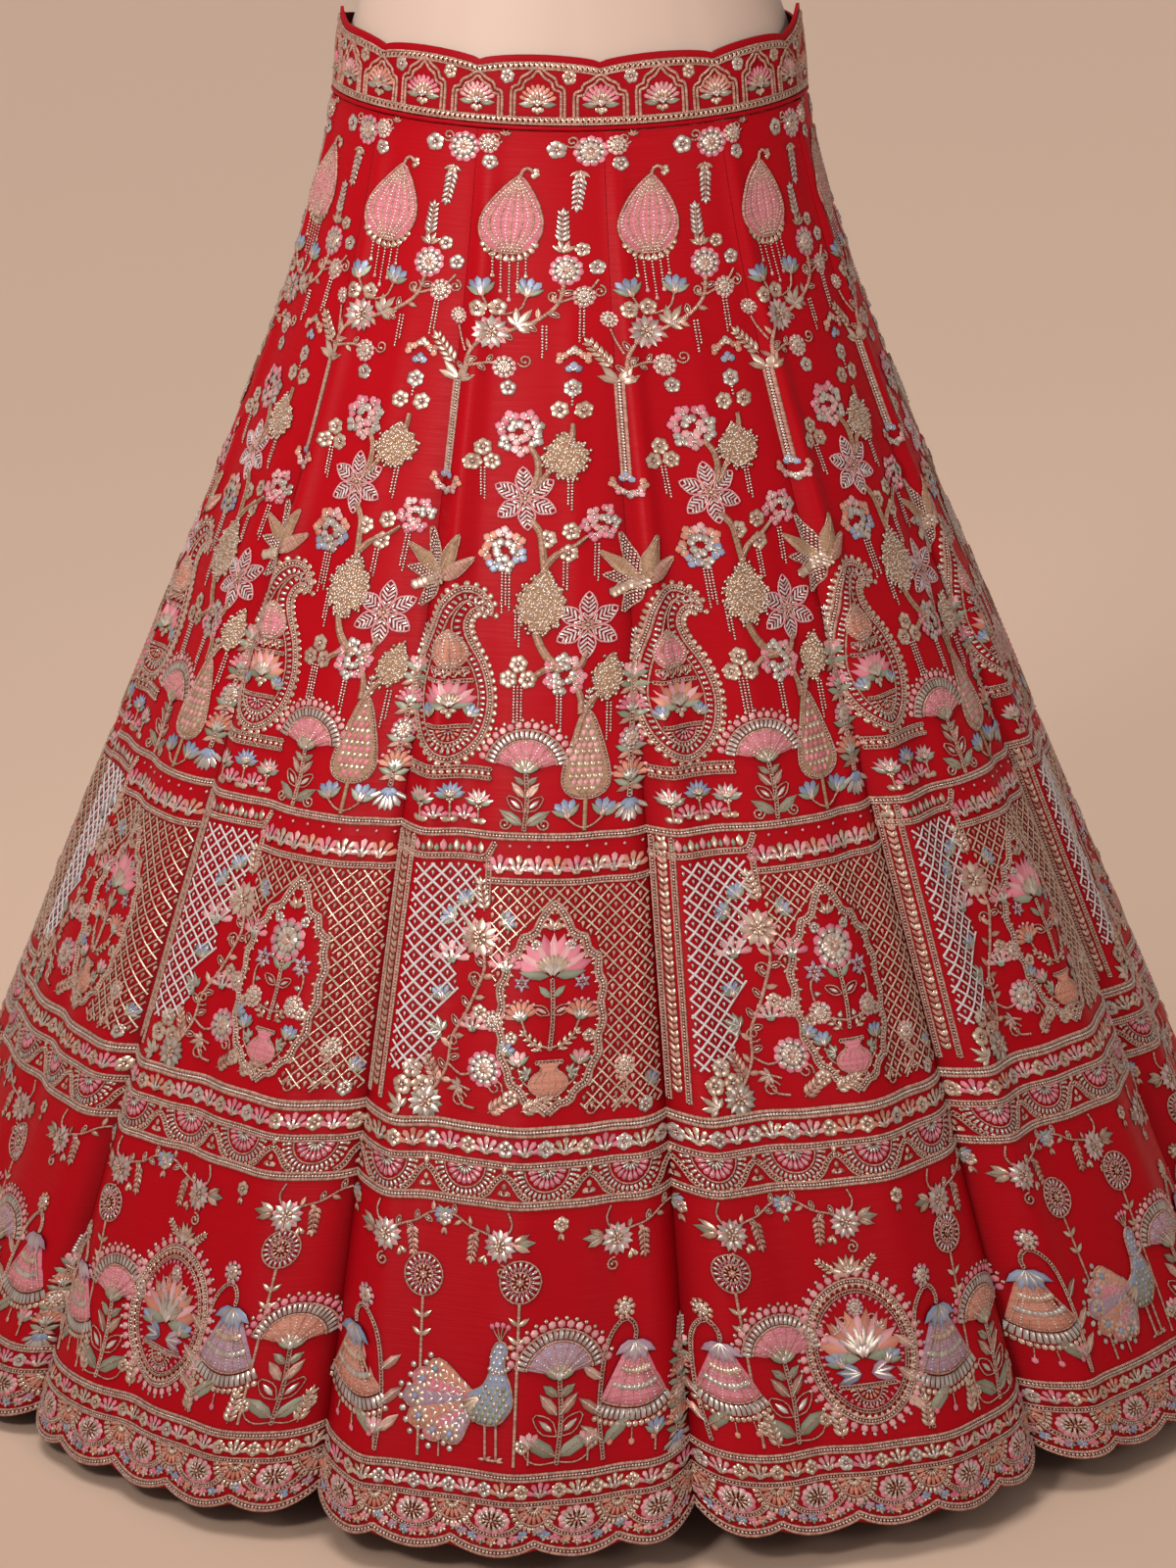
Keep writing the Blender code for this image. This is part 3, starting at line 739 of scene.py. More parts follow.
floor = buildMesh("floor", studio["floorCorners"], ((0, 1, 2, 3),), [studioFloor])
print("studio set")


# embroidery: drawn flat in millimetres, then laid on the cloth

petalShapes = {
    "round": [(0.5 + 0.5 * math.cos(a), 0.5 * math.sin(a)) for a in (math.pi * k / 3 for k in range(6))],
    "leaf": [(0, 0), (0.26, 0.44), (0.62, 0.46), (1, 0), (0.62, -0.46), (0.26, -0.44)],
    "seed": [(0, 0.06), (0.50, 0.38), (0.86, 0.44), (1.04, 0), (0.86, -0.44), (0.50, -0.38)],
    "tip": [(0, 0.30), (0.42, 0.50), (1, 0), (0.42, -0.50), (0, -0.30)],
    "rod": [(0, 0.5), (1, 0.5), (1, -0.5), (0, -0.5)], "dot": [(1, 0), (0.5, 0.5), (0, 0), (0.5, -0.5)],
}


def evenly(path, step):
    path = np.asarray(path, float)
    reach = np.concatenate(([0], np.cumsum(np.hypot(*np.diff(path, axis=0).T))))
    at = np.linspace(0, reach[-1], max(2, int(round(reach[-1] / step)) + 1))
    return np.column_stack((np.interp(at, reach, path[:, 0]), np.interp(at, reach, path[:, 1]))), at


def sidesOf(path):
    # unit vectors to the left of each place on a path
    ahead = np.gradient(path, axis=0)
    ahead /= np.maximum(np.hypot(ahead[:, 0], ahead[:, 1]), 1e-9)[:, None]
    return np.column_stack((-ahead[:, 1], ahead[:, 0]))


def curve(points, per, closed=False):
    # a smooth line through a few points
    points = np.asarray(points, float)
    if closed:
        padded = np.vstack((points[-1:], points, points[:2]))
    else:
        padded = np.vstack((2 * points[:1] - points[1:2], points, 2 * points[-1:] - points[-2:-1]))
    t = np.linspace(0, 1, per, endpoint=False)[:, None]
    parts = [0.5 * (2 * b + (c - a) * t + (2 * a - 5 * b + 4 * c - d) * t**2 + (3 * b - a - 3 * c + d) * t**3)
        for a, b, c, d in zip(padded[:-3], padded[1:-2], padded[2:-1], padded[3:])]
    return np.vstack(parts + [padded[-2:-1]])


def rounded(points, size, per=3):
    # a smooth closed outline, open at its last point
    return curve(np.array(points) * size, per, True)[:-1]


def looped(outline):
    return np.vstack((outline, outline[:1]))


def mirrored(*side):
    # a closed outline from its right half
    return np.array(list(side) + [(-x, y) for x, y in side[-2:0:-1]])


def toward(turn):
    return np.array((math.cos(math.radians(turn)), math.sin(math.radians(turn))))


def ring(count, radius, start=90.0, sweep=360.0):
    # places round a point, each facing outward: x, y, degrees
    turns = np.radians(start + sweep * np.arange(count) / (count if sweep >= 360 else max(1, count - 1)))
    return np.column_stack((radius * np.cos(turns), radius * np.sin(turns), np.degrees(turns)))


def circle(radius, sides, squash=1.0, start=0.0, sweep=360.0):
    turns = np.radians(start + np.linspace(0, sweep, sides + 1))
    return np.column_stack((radius * np.cos(turns), radius * squash * np.sin(turns)))


def insideOf(outline, points):
    # which points lie inside a closed outline
    x, y = points[:, 0], points[:, 1]
    inside = np.zeros(len(points), bool)
    x1, y1 = outline[-1]
    for x2, y2 in outline:
        inside ^= ((y1 > y) != (y2 > y)) & (x < (x2 - x1) * (y - y1) / (y2 - y1 + 1e-12) + x1)
        x1, y1 = x2, y2
    return inside


class Sewing:
    # everything sewn on one piece, gathered for one mesh
    def __init__(self):
        self.points, self.faces, self.uvs, self.slots, self.count = [], [], [], [], 0


class Spot:
    # a place on the cloth: local x to the right, y up the skirt
    def __init__(self, sewing, origin=(0.0, 0.0), axes=((1.0, 0.0), (0.0, 1.0))):
        self.sewing, self.origin, self.axes = sewing, np.asarray(origin, float), np.asarray(axes, float)

    def spot(self, x, y, turn=0.0, size=1.0, flip=False):
        c, s = toward(turn) * size
        local = np.array(((c, -s), (s, c)))
        if flip:
            local = local @ np.diag((-1.0, 1.0))
        return Spot(self.sewing, self.origin + self.axes @ np.array((x, y), float), self.axes @ local)

    def put(self, flat, heights, faces, uv, finish):
        sewing = self.sewing
        sewing.points.append(np.column_stack((self.origin + flat @ self.axes.T, heights)))
        sewing.faces.append(np.where(faces >= 0, faces + sewing.count, -1))
        sewing.uvs.append(uv)
        sewing.slots.append(np.full(len(faces), threadNames.index(finish)))
        sewing.count += len(flat)

    def cord(self, path, width, height, finish="zari", step=4.0, lift=0.05, taper=(1, 1)):
        path, reach = evenly(path, step)
        n = len(path)
        narrowed = np.interp(np.linspace(0, 1, n), np.linspace(0, 1, len(taper)), taper)
        side = sidesOf(path) * narrowed[:, None] * width / 2
        heights = np.repeat((lift, lift + height, lift), n)
        k = np.arange(n - 1)
        strip = np.column_stack((k, k + n, k + n + 1, k + 1))
        faces = np.concatenate((strip, strip + n))
        uv = np.column_stack((np.tile(reach + random.random() * 900, 3), np.repeat((0.0, 0.5, 1.0), n)))
        self.put(np.concatenate((path + side, path, path - side)), heights, faces, uv, finish)

    def petals(self, places, length, width, height=1.0, shape="round", finish="sequin", lift=0.15):
        places = np.asarray(places, float).reshape(-1, 3)
        n = len(places)
        if not n:
            return
        one = np.vstack((petalShapes[shape], (0.48, 0))) * (length, width)
        m = len(one) - 1
        turn = np.radians(places[:, 2])
        c, s = np.cos(turn)[:, None], np.sin(turn)[:, None]
        x = places[:, :1] + one[:, 0] * c - one[:, 1] * s
        y = places[:, 1:2] + one[:, 0] * s + one[:, 1] * c
        k = np.arange(m)
        fan = np.column_stack((k, (k + 1) % m, np.full(m, m), np.full(m, -1)))
        faces = np.where(fan >= 0, fan + (np.arange(n) * (m + 1))[:, None, None], -1).reshape(-1, 4)
        top = np.append(np.zeros(m), 1.0)
        tone = np.repeat([random.random() * 900 for _ in range(n)], m + 1)
        uv = np.column_stack((tone, np.tile(top * 0.5, n)))
        self.put(np.stack((x, y), axis=-1).reshape(-1, 2), np.tile(lift + height * top, n), faces, uv, finish)

    def spray(self, turns, *how, at=(0, 0)):
        # petals that start at one place
        self.petals([(*at, turn) for turn in turns], *how)

    def petal(self, *how, at=(0, 0)):
        self.spray((90,), *how, at=at)

    def rings(self, size, *rows):
        # each row, in parts of size: count, reach, first turn, sweep, length and width
        # of a ring of petals, then its height, shape, finish and lift
        for count, reach, first, sweep, length, width, *how in rows:
            self.petals(ring(count, size * reach, first, sweep), size * length, size * width, *how)

    def beads(self, where, size, height, finish="bead", lift=0.25):
        where = np.asarray(where, float).reshape(-1, 2)
        places = np.column_stack((where[:, 0] - size / 2, where[:, 1], np.zeros(len(where))))
        self.petals(places, size, size, height, "dot", finish, lift)

    def bead(self, *how):
        self.beads([(0, 0)], *how)

    def beadLine(self, path, pitch, size, height=1.1, finish="bead", lift=0.25):
        self.beads(evenly(path, pitch)[0], size, height, finish, lift)

    def fill(self, outline, height, finish, lift=0.1, rim=0.82):
        # a domed area of laid thread
        n = len(outline)
        middle = outline.mean(axis=0)
        flat = np.vstack((outline, middle + (outline - middle) * rim,
            middle + (outline - middle) * 0.4, middle))
        heights = lift + height * np.repeat((0, 0.85, 1.0, 1.0), (n, n, n, 1))
        k = np.arange(n)
        after = (k + 1) % n
        quads = np.column_stack((k, after, after + n, k + n))
        tris = np.column_stack((k + 2 * n, after + 2 * n, np.full(n, 3 * n), np.full(n, -1)))
        uv = np.column_stack((flat[:, 1] * 2.2 + 300, np.repeat((0.12, 0.42), (n, 2 * n + 1))))
        self.put(flat, heights, np.concatenate((quads, quads + n, tris)), uv, finish)

    def beadLines(self, path, width, step=5.0):
        # two cords with a row of beads between them
        line, _ = evenly(path, step)
        side = sidesOf(line) * width * 0.34
        for cord in (line + side, line - side):
            self.cord(cord, width * 0.34, 1.0, "zari", step)
        self.beadLine(line, 2.3, width * 0.38, 1.3)


def scroll(spot, radius, side=1):
    t = np.linspace(0, 1, 16)
    turn = math.pi + t * 1.25 * 2 * math.pi
    reach = radius * (1 - 0.72 * t)
    path = np.column_stack((side * (radius + reach * np.cos(turn)), reach * np.sin(turn)))
    spot.cord(path, 1.4, 1.0, "zari", max(1.6, radius * 0.34))
    spot.beads(path[-1:], 2.1, 1.3)


def sequinFlower(spot, radius, finish="sequin", petals=5):
    spot.rings(radius, (petals, 0.18, 90, 360, 0.84, 1.05 if petals == 5 else 0.88, 1.1, "round", finish),
        (petals, 0.12, 90, 360, 0.34, 0.24, 0.7, "seed", "zari", 0.9))
    spot.bead(radius * 0.42, 1.1, "bead", 1.0)


def budPair(spot, radius, finish="sequin"):
    for side in (-1, 1):
        for turn, reach in ((58, 1.25), (22, 1.35)):
            spot.spray((90 - side * turn,), radius * reach, radius * 0.52, 1.1, "leaf", finish)
            spot.spray((90 - side * turn,), radius * reach * 0.85, radius * 0.12, 0.6, "rod", "zari", 0.9)
    spot.beads([(0, radius * 0.1)], radius * 0.5, 1.3)


def rosette(spot, radius, edge="pink", petals=11):
    inner = "silverSequin" if edge == "pink" else "sequin"
    spot.rings(radius, (petals, 0.62, 90, 360, 0.44, 0.52, 0.9, "round", edge),
        (petals, 0.56, 90, 360, 0.36, 0.40, 0.9, "round", inner, 0.5))
    spot.fill(circle(radius * 0.62, 12)[:-1], 1.3, "sequin", 0.3)
    spot.rings(radius, (petals, 0.24, 90, 360, 0.36, 0.16, 0.7, "rod", "bead", 1.5),
        (6, 0, 90, 360, 0.28, 0.22, 0.7, "round", "zari", 1.7))
    spot.bead(radius * 0.26, 1.0, "bead", 2.0)


def tuft(spot, size, finish, heart="zari", count=5, sweep=140.0):
    spot.rings(size, (count, 0.22, 90 - sweep / 2, sweep, 0.70, 0.36, 1.0, "seed", finish),
        (count - 2, 0.08, 90 - sweep * 0.36, sweep * 0.72, 0.42, 0.16, 0.8, "rod", "bead", 0.7))
    spot.spray((50, 130), size * 0.34, size * 0.22, 0.8, "leaf", heart, 0.8, at=(0, -size * 0.10))


def trefoil(spot, size, finish):
    spot.petals([(0, 0, 18), (0, size * 0.05, 90), (0, 0, 162)], size, size * 0.92, 1.3, "round", finish, 0.3)
    spot.spray((56, 124), size * 0.84, size * 0.30, 0.9, "seed", "silverSequin", 1.0, at=(0, -size * 0.16))
    spot.beads([(0, size * 0.03)], size * 0.45, 0.9, "sequin", 1.3)


def bouquet(spot, size, colours, count, branch):
    # a loose head of trefoils, open on the side where its branch comes in
    heads = [(0.31, branch + 30 + 300 * k / (count - 1), colours[k % len(colours)]) for k in range(count)]
    heads += [(0.11, branch + 60 + 120 * k, "silverSequin" if k % 2 else colours[-1]) for k in range(3)]
    for reach, turn, finish in heads:
        turn += random.uniform(-9, 9)
        x, y = size * (reach + random.uniform(-0.02, 0.02)) * toward(turn)
        trefoil(spot.spot(x, y, turn - 90 + random.uniform(-25, 25)), size * 0.20, finish)


def starFlower(spot, radius, start):
    length, half = radius * 0.86, radius * 0.25
    edge = curve(looped(mirrored((0, 0), (half * 0.8, length * 0.28), (half, length * 0.56), (0, length))), 3)
    for x, y, angle in ring(6, radius * 0.14, start):
        petal = spot.spot(x, y, angle - 90)
        petal.cord(edge, 1.3, 0.9, "blush", radius * 0.13)
        for k, reach in enumerate((0.80, 1.12, 1.22, 1.06, 0.66)):
            petal.spray((44, 136), half * reach, 1.25, 1.0, "rod", "white" if k % 3 else "bead",
                at=(0, length * (0.12 + 0.155 * k)))
    spot.rings(radius, (8, 0.05, 90, 360, 0.16, 0.11, 1.0, "round", "zari", 0.6))
    spot.bead(radius * 0.12, 1.2, "bead", 1.0)


def inShape(outline, pitch, jitter):
    # a close even scatter of points inside an outline
    low, high = outline.min(axis=0), outline.max(axis=0)
    points = []
    for row, y in enumerate(np.arange(low[1], high[1], pitch * 0.87)):
        for x in np.arange(low[0], high[0], pitch):
            shift = (random.random() - 0.5) * pitch * jitter
            rise = (random.random() - 0.5) * pitch * jitter
            points.append((x + (pitch / 2 if row % 2 else 0) + shift, y + rise))
    points = np.array(points).reshape(-1, 2)
    return points[insideOf(outline, points)]


def caviarLeaf(spot, width, height):
    # a jagged leaf closely covered with beads
    outline = mirrored((0, 0), (0.22, 0.00), (0.24, 0.13), (0.44, 0.13), (0.42, 0.27), (0.56, 0.33),
        (0.48, 0.44), (0.56, 0.55), (0.43, 0.62), (0.44, 0.75), (0.27, 0.79), (0.20, 0.92),
        (0, 1.04)) * (width, height)
    spot.fill(outline * 0.92 + (0, height * 0.04), 0.7, "dullZari", 0.1, 0.9)
    points = inShape(outline, 2.35, 0.45)
    pick = np.array([random.random() for _ in points])
    leaves = np.column_stack((points, 200 + 140 * pick))[pick < 0.6]
    spot.petals(leaves, 2.9, 2.1, 1.5, "leaf", "sequin", 0.6)
    spot.beads(points[pick >= 0.6], 2.3, 1.6, "bead", 0.7)


def strands(spot, lengths):
    for k, length in enumerate(lengths):
        x = (k - (len(lengths) - 1) / 2) * 2.6
        spot.beadLine([(x, 0), (x + 0.4, -length)], 2.2, 1.9, 1.1)
        spot.spray((-90,), 2.4, 1.7, 1.0, "seed", "sequin", at=(x + 0.4, -length - 0.6))


def triad(spot, radius, lengths):
    for x, y in ((0, 1.5), (-1, -0.1), (1, -0.1)):
        sequinFlower(spot.spot(radius * x, radius * y, random.uniform(-20, 20)), radius, "sequin", 6)
    strands(spot.spot(0, -radius * 0.9), lengths)


def sprig(spot, length, pairs, leaf, finish="zari"):
    # a straight stem with paired leaves
    spot.cord([(0, 0), (0, length * 0.9)], 1.0, 0.8, "zari", 6)
    rows = np.linspace(length * 0.08, length * 0.84, pairs)
    for y, s in zip(rows, np.interp(rows, (0, length), (1.0, 0.7))):
        spot.petals([(0.3, y, 48), (-0.3, y, 132)], leaf * s, leaf * s * 0.48, 1.0, "leaf", finish)
    spot.petal(leaf * 0.9, leaf * 0.42, 1.0, "leaf", finish, at=(0, length * 0.84))


def leafCluster(spot, size, finish="zari"):
    for turn, reach in ((90, 1.0), (48, 0.85), (132, 0.85), (8, 0.62), (172, 0.62)):
        spot.spray((turn,), size * reach, size * 0.34, 1.1, "leaf", finish)
        spot.spray((turn,), size * reach * 0.8, size * 0.07, 0.6, "rod", "bead", 0.9)


def openLeaf(spot, length):
    # outlined leaf with a small bead leaf inside
    edge = looped(mirrored((0, 0), (0.22, 0.34), (0.20, 0.66), (0, 1))) * length
    spot.cord(curve(edge, 2), 1.0, 0.9, "zari", length * 0.2)
    spot.petal(length * 0.55, length * 0.18, 0.9, "leaf", "bead", at=(0, length * 0.2))


def creeperLeaves(spot, path, pitch, leaf, openShare=0.5):
    # leaves in turn on both sides of a stem
    points, _ = evenly(path, pitch)
    for k, ((x, y), (ax, ay)) in enumerate(zip(points, np.gradient(points, axis=0))):
        here = spot.spot(x, y, math.degrees(math.atan2(ay, ax)) - 90 - (58 if k % 2 else -58))
        if random.random() < openShare:
            openLeaf(here, leaf)
        else:
            here.petal(leaf, leaf * 0.46, 1.0, "leaf", "zari", at=(0, 0.4))


def tulip(spot, size, finish="blue"):
    # open flower seen from the side
    spot.spray((60, 90, 120), size, size * 0.42, 1.1, "seed", finish)
    spot.spray((36, 144), size * 0.95, size * 0.34, 1.1, "leaf", "mint", 0.4)
    spot.spray((75, 105), size * 0.55, size * 0.12, 0.8, "rod", "bead", 1.0)
    spot.spray((70, 110), size * 0.4, size * 0.22, 0.9, "leaf", "zari", 0.8, at=(0, -size * 0.1))


def lotus(spot, size, petalFinish, leaf="mint", foot=True, count=7):
    # upright petals, side leaves, bead heart and a foot of sequins
    for k, (x, y, turn) in enumerate(ring(count, size * 0.16, 18, 144)):
        spot.spray((turn,), size * 0.62, size * 0.25, 1.0, "tip" if k % 2 else "leaf", petalFinish[k % 2],
            0.15 + 0.1 * (k % 2), at=(x, y))
    spot.rings(size, (count - 2, 0.06, 36, 108, 0.36, 0.13, 0.8, "leaf", "sequin", 0.8))
    sides = [(size * 0.06, -size * 0.03, 8), (-size * 0.06, -size * 0.03, 172)]
    spot.petals(sides, size * 0.56, size * 0.20, 1.0, "leaf", leaf, 0.3)
    spot.rings(size, (4, 0, 45, 90, 0.22, 0.08, 0.8, "rod", "bead", 1.2))
    if foot:
        below = [(0, -size * 0.08, 205), (0, -size * 0.08, 335), (0, -size * 0.14, 270)]
        spot.petals(below, size * 0.20, size * 0.15, 1.0, "round", "sequin", 0.3)


def fanFlower(spot, radius, petal, arc, count=9):
    # half flower that hangs from a line: heart, petals, then an arc of short rods between two threads
    spot.rings(radius, (count, 0.28, 188, 164, 0.34, 0.185, 1.2, "seed", petal),
        (count - 2, 0.06, 192, 156, 0.26, 0.10, 1.0, "seed", "silverSequin", 0.3),
        (count, 0.42, 188, 164, 0.16, 0.035, 0.6, "rod", "bead", 1.2))
    spot.cord(circle(radius * 0.73, 14, 1, 182, 176), 1.2, 0.8, "zari", radius * 0.2)
    spot.rings(radius, (count * 2, 0.78, 184, 172, 0.20, 0.085, 1.1, "rod", arc),
        (count * 2 - 1, 0.98, 185, 170, 0.13, 0.13, 1.0, "round", "sequin"))


def latticeIn(spot, outline, pitch, width, finish, drop, dropSize, hole=None):
    # crossed diagonal threads inside an outline, a drop in each cell
    outline = np.array(outline, float)
    middle = outline.mean(axis=0)
    reach = np.hypot(*(outline - middle).T).max() + pitch
    cut = math.sqrt(0.5)

    def within(points):
        return insideOf(outline, points) & (True if hole is None else ~insideOf(hole, points))

    at = np.arange(-reach, reach, 1.2)
    rows = math.ceil(reach / pitch)
    for way in (1, -1):
        ahead, side = np.array((way * cut, cut)), np.array((cut, -way * cut))
        for k in range(-rows, rows + 1):
            line = middle + side * (k * pitch) + ahead * at[:, None]
            edges = np.flatnonzero(np.diff(np.concatenate(([0], within(line).astype(int), [0]))))
            for a, b in zip(edges[::2], edges[1::2]):
                if b - a > 2:
                    spot.cord(line[[a, b - 1]], width, 0.9, finish, 9.0, 0.05 if way > 0 else 0.35)
    half = pitch * cut
    steps = [(i, j) for i in range(-30, 31) for j in range(-30, 31) if (i + j) % 2]
    cells = middle + np.array(steps) * half
    cells = cells[within(cells)]
    places = np.column_stack((cells - (0, dropSize * 0.5), np.full(len(cells), 90.0)))
    spot.petals(places, dropSize, dropSize * 0.62, 1.2, "seed", drop, 0.3)


def lily(spot, radius, tips="blush", body="silverSequin"):
    # a full open flower with pointed petals
    between = 90 + 180 / 7
    spot.rings(radius, (7, 0.10, between, 360, 0.88, 0.52, 1.1, "leaf", tips, 0.1),
        (7, 0.08, 90, 360, 0.90, 0.48, 1.2, "leaf", body, 0.5),
        (7, 0.30, between, 360, 0.40, 0.07, 0.7, "rod", "zari", 1.4),
        (7, 0.04, 90, 360, 0.34, 0.22, 0.9, "seed", "sequin", 1.8),
        (5, 0.02, 90, 360, 0.22, 0.13, 0.9, "seed", "zari", 2.3))
    spot.bead(radius * 0.18, 1.0, "bead", 2.9)


# larger motifs

def outward(outline, pitch, inset=0.0):
    # places along a closed outline, each facing out of it
    points = evenly(looped(outline), pitch)[0][:-1]
    ahead = np.roll(points, -1, axis=0) - np.roll(points, 1, axis=0)
    area = np.sum(points[:, 0] * np.roll(points[:, 1], -1) - np.roll(points[:, 0], -1) * points[:, 1])
    side = np.column_stack((ahead[:, 1], -ahead[:, 0])) * (1 if area > 0 else -1)
    side /= np.maximum(np.hypot(side[:, 0], side[:, 1]), 1e-9)[:, None]
    return np.column_stack((points - side * inset, np.degrees(np.arctan2(side[:, 1], side[:, 0]))))


def drawnIn(outline, by):
    return outward(outline, 3.0, by)[:, :2]


paisleyForm = (
    (0, 0), (0.22, 0.05), (0.40, 0.17), (0.47, 0.36), (0.38, 0.55), (0.22, 0.69), (0.17, 0.80), (0.28, 0.88),
    (0.46, 0.86), (0.34, 0.97), (0.10, 1.0), (-0.10, 0.90), (-0.22, 0.76), (-0.38, 0.58), (-0.48, 0.37),
    (-0.41, 0.17), (-0.22, 0.05),
)
dropForm = mirrored(
    (0, 0), (0.28, 0.05), (0.46, 0.20), (0.50, 0.40), (0.40, 0.62), (0.23, 0.82), (0.08, 0.95), (0, 1.0),
)
cypressForm = mirrored((0, 0), (0.34, 0.04), (0.50, 0.16), (0.46, 0.36), (0.34, 0.58), (0.20, 0.80), (0, 1.0))
medallionForm = mirrored(
    (0, -0.5), (0.10, -0.455), (0.22, -0.45), (0.27, -0.385), (0.39, -0.365), (0.41, -0.29), (0.505, -0.235),
    (0.475, -0.15), (0.54, -0.08), (0.49, 0.01), (0.535, 0.09), (0.455, 0.15), (0.46, 0.235), (0.35, 0.26),
    (0.31, 0.34), (0.20, 0.345), (0.13, 0.42), (0, 0.5),
)
medallionRoom = mirrored(
    (0, -0.53), (0.34, -0.45), (0.53, -0.24), (0.57, -0.05), (0.55, 0.14), (0.42, 0.32), (0.20, 0.42),
    (0, 0.52),
)
vaseSide = np.array((
    (0.20, 0.06), (0.44, 0.22), (0.50, 0.42), (0.38, 0.60), (0.20, 0.70), (0.17, 0.80), (0.30, 0.90),
))
chestForm = (
    (-0.06, 0.34), (0.04, 0.26), (0.18, 0.28), (0.27, 0.40), (0.25, 0.54), (0.205, 0.66), (0.225, 0.78),
    (0.175, 0.83), (0.115, 0.76), (0.105, 0.62), (0.05, 0.51), (-0.06, 0.44),
)


def ribs(spot, width, height, body, count, slant):
    # a drop shape of laid thread with gold and bead ribs
    outline = rounded(dropForm, (width, height))
    outline[:, 0] += slant * width * (outline[:, 1] / height) ** 2
    spot.fill(outline, 1.3, body)
    half = (count - 1) // 2
    for k in range(-half, half + 1):
        bend = k / half * 0.44
        line = np.array([(bend * 0.30, 0.03), (bend * 1.02, 0.36), (bend * 0.70, 0.66), (0, 0.96)])
        path = curve(line * (width, height), 4)
        path[:, 0] += slant * width * (path[:, 1] / height) ** 2
        if k % 2:
            spot.beadLine(path, 2.5, 2.0, 1.1, "bead", 1.2)
        else:
            spot.cord(path, 2.1, 1.0, "zari", 4, 1.1)
    spot.cord(looped(outline), 2.0, 1.5)


def paisley(spot, width, height, body, bloom):
    # a tall mango shape: beaded rim, petal fringe, ribbed top, tiers of flowers below
    outline = rounded(paisleyForm, (width, height), 5)
    spot.petals(outward(outline, 5.4, -1.6), 4.2, 4.4, 1.1, "round", "sequin")
    spot.beadLines(looped(outline), 5.4)
    spot.petals(outward(drawnIn(outline, 4.4), 4.3, 3.2), 3.6, 1.9, 1.0, "rod", "silverSequin")
    spot.cord(looped(drawnIn(outline, 9.0)), 1.3, 0.9, "zari", 3)
    w = width / 62.0
    top = spot.spot(0, height * 0.54)
    ribs(top, 24 * w, 28 * w, body, 7, -0.05)
    top.beadLines([(-13 * w, -1.5), (13 * w, -1.5)], 3.4)
    for x, finish in ((-9, "blush"), (-3, "sequin"), (3, "peach"), (9, "sequin")):
        tuft(spot.spot(x * w, height * 0.485), 6.4 * w, finish, "zari", 3, 100)
    spot.beadLines([(-16 * w, height * 0.46), (16 * w, height * 0.46)], 3.2)
    lotus(spot.spot(0, height * 0.315), 27 * w, bloom, "mint", True, 9)
    for side in (-1, 1):
        tulip(spot.spot(side * 13 * w, height * 0.25, side * -26), 9.5 * w, "blue")
    spot.beadLines([(-15 * w, height * 0.195), (15 * w, height * 0.195)], 3.2)
    fanFlower(spot.spot(0, height * 0.175), 13.0 * w, body, "bead", 7)


def pendant(spot, width, height, body):
    # a hanging paisley with raised ribs, bead strands below
    ribs(spot, width, height, body, 11, 0.16)
    tip = spot.spot(width * 0.16, height)
    end = (width * 0.20, height * 0.04)
    hook = curve([(0, -1), (width * 0.04, height * 0.07), (width * 0.14, height * 0.10), end], 4)
    tip.cord(hook, 2.4, 1.4, "zari", 3)
    tip.spray((-80, -20, 40), 4.6, 4.0, 1.1, "round", "sequin", at=end)
    spot.petals(ring(10, width * 0.36, 205, 130) + (0, height * 0.255, 0), 6.0, 4.6, 1.1, "seed", "sequin")
    for x, drop in ((-0.27, 12), (-0.14, 20), (0, 26), (0.14, 20), (0.27, 12)):
        y = height * (0.012 if abs(x) < 0.2 else 0.07) - 5
        spot.beadLine([(x * width, y), (x * width, y - drop)], 2.2, 1.8)
        finish = "sequin" if abs(x) > 0.2 else "blush"
        spot.spray((270,), 4.4, 3.2, 1.1, "seed", finish, at=(x * width, y - drop))


def beadedBand(spot, width, gap):
    # two beaded lines with a row of small leaves between
    for y in (0, gap):
        spot.beadLines([(-width / 2, y), (width / 2, y)], 3.4)
    count = max(3, int(width / 4.6))
    leaves = [((k + 0.5) / count * width - width / 2, gap * 0.22, 90) for k in range(count)]
    spot.petals(leaves, gap * 0.62, 3.4, 1.0, "leaf", "sequin")


def vase(spot, size, body):
    # ribbed vase with beaded bands
    wall = np.vstack((vaseSide[::-1] * (-1, 1), vaseSide)) * size
    spot.fill(rounded(np.vstack((wall, (0, size * 0.90))), 1), 1.1, body)
    for k in (-0.30, -0.15, 0, 0.15, 0.30):
        line = np.array([(k * 0.5, 0.10), (k * 1.25, 0.40), (k * 0.6, 0.68)]) * size
        spot.cord(curve(line, 3), 1.2, 0.8, "zari", 4, 0.9)
    for x, y, wide in ((0.24, 0.68, 3.2), (0.34, 0.91, 3.4), (0.28, 0.03, 3.4)):
        spot.beadLines([(-size * x, size * y), (size * x, size * y)], wide)
    spot.cord(wall, 1.5, 1.2, "zari", 3)


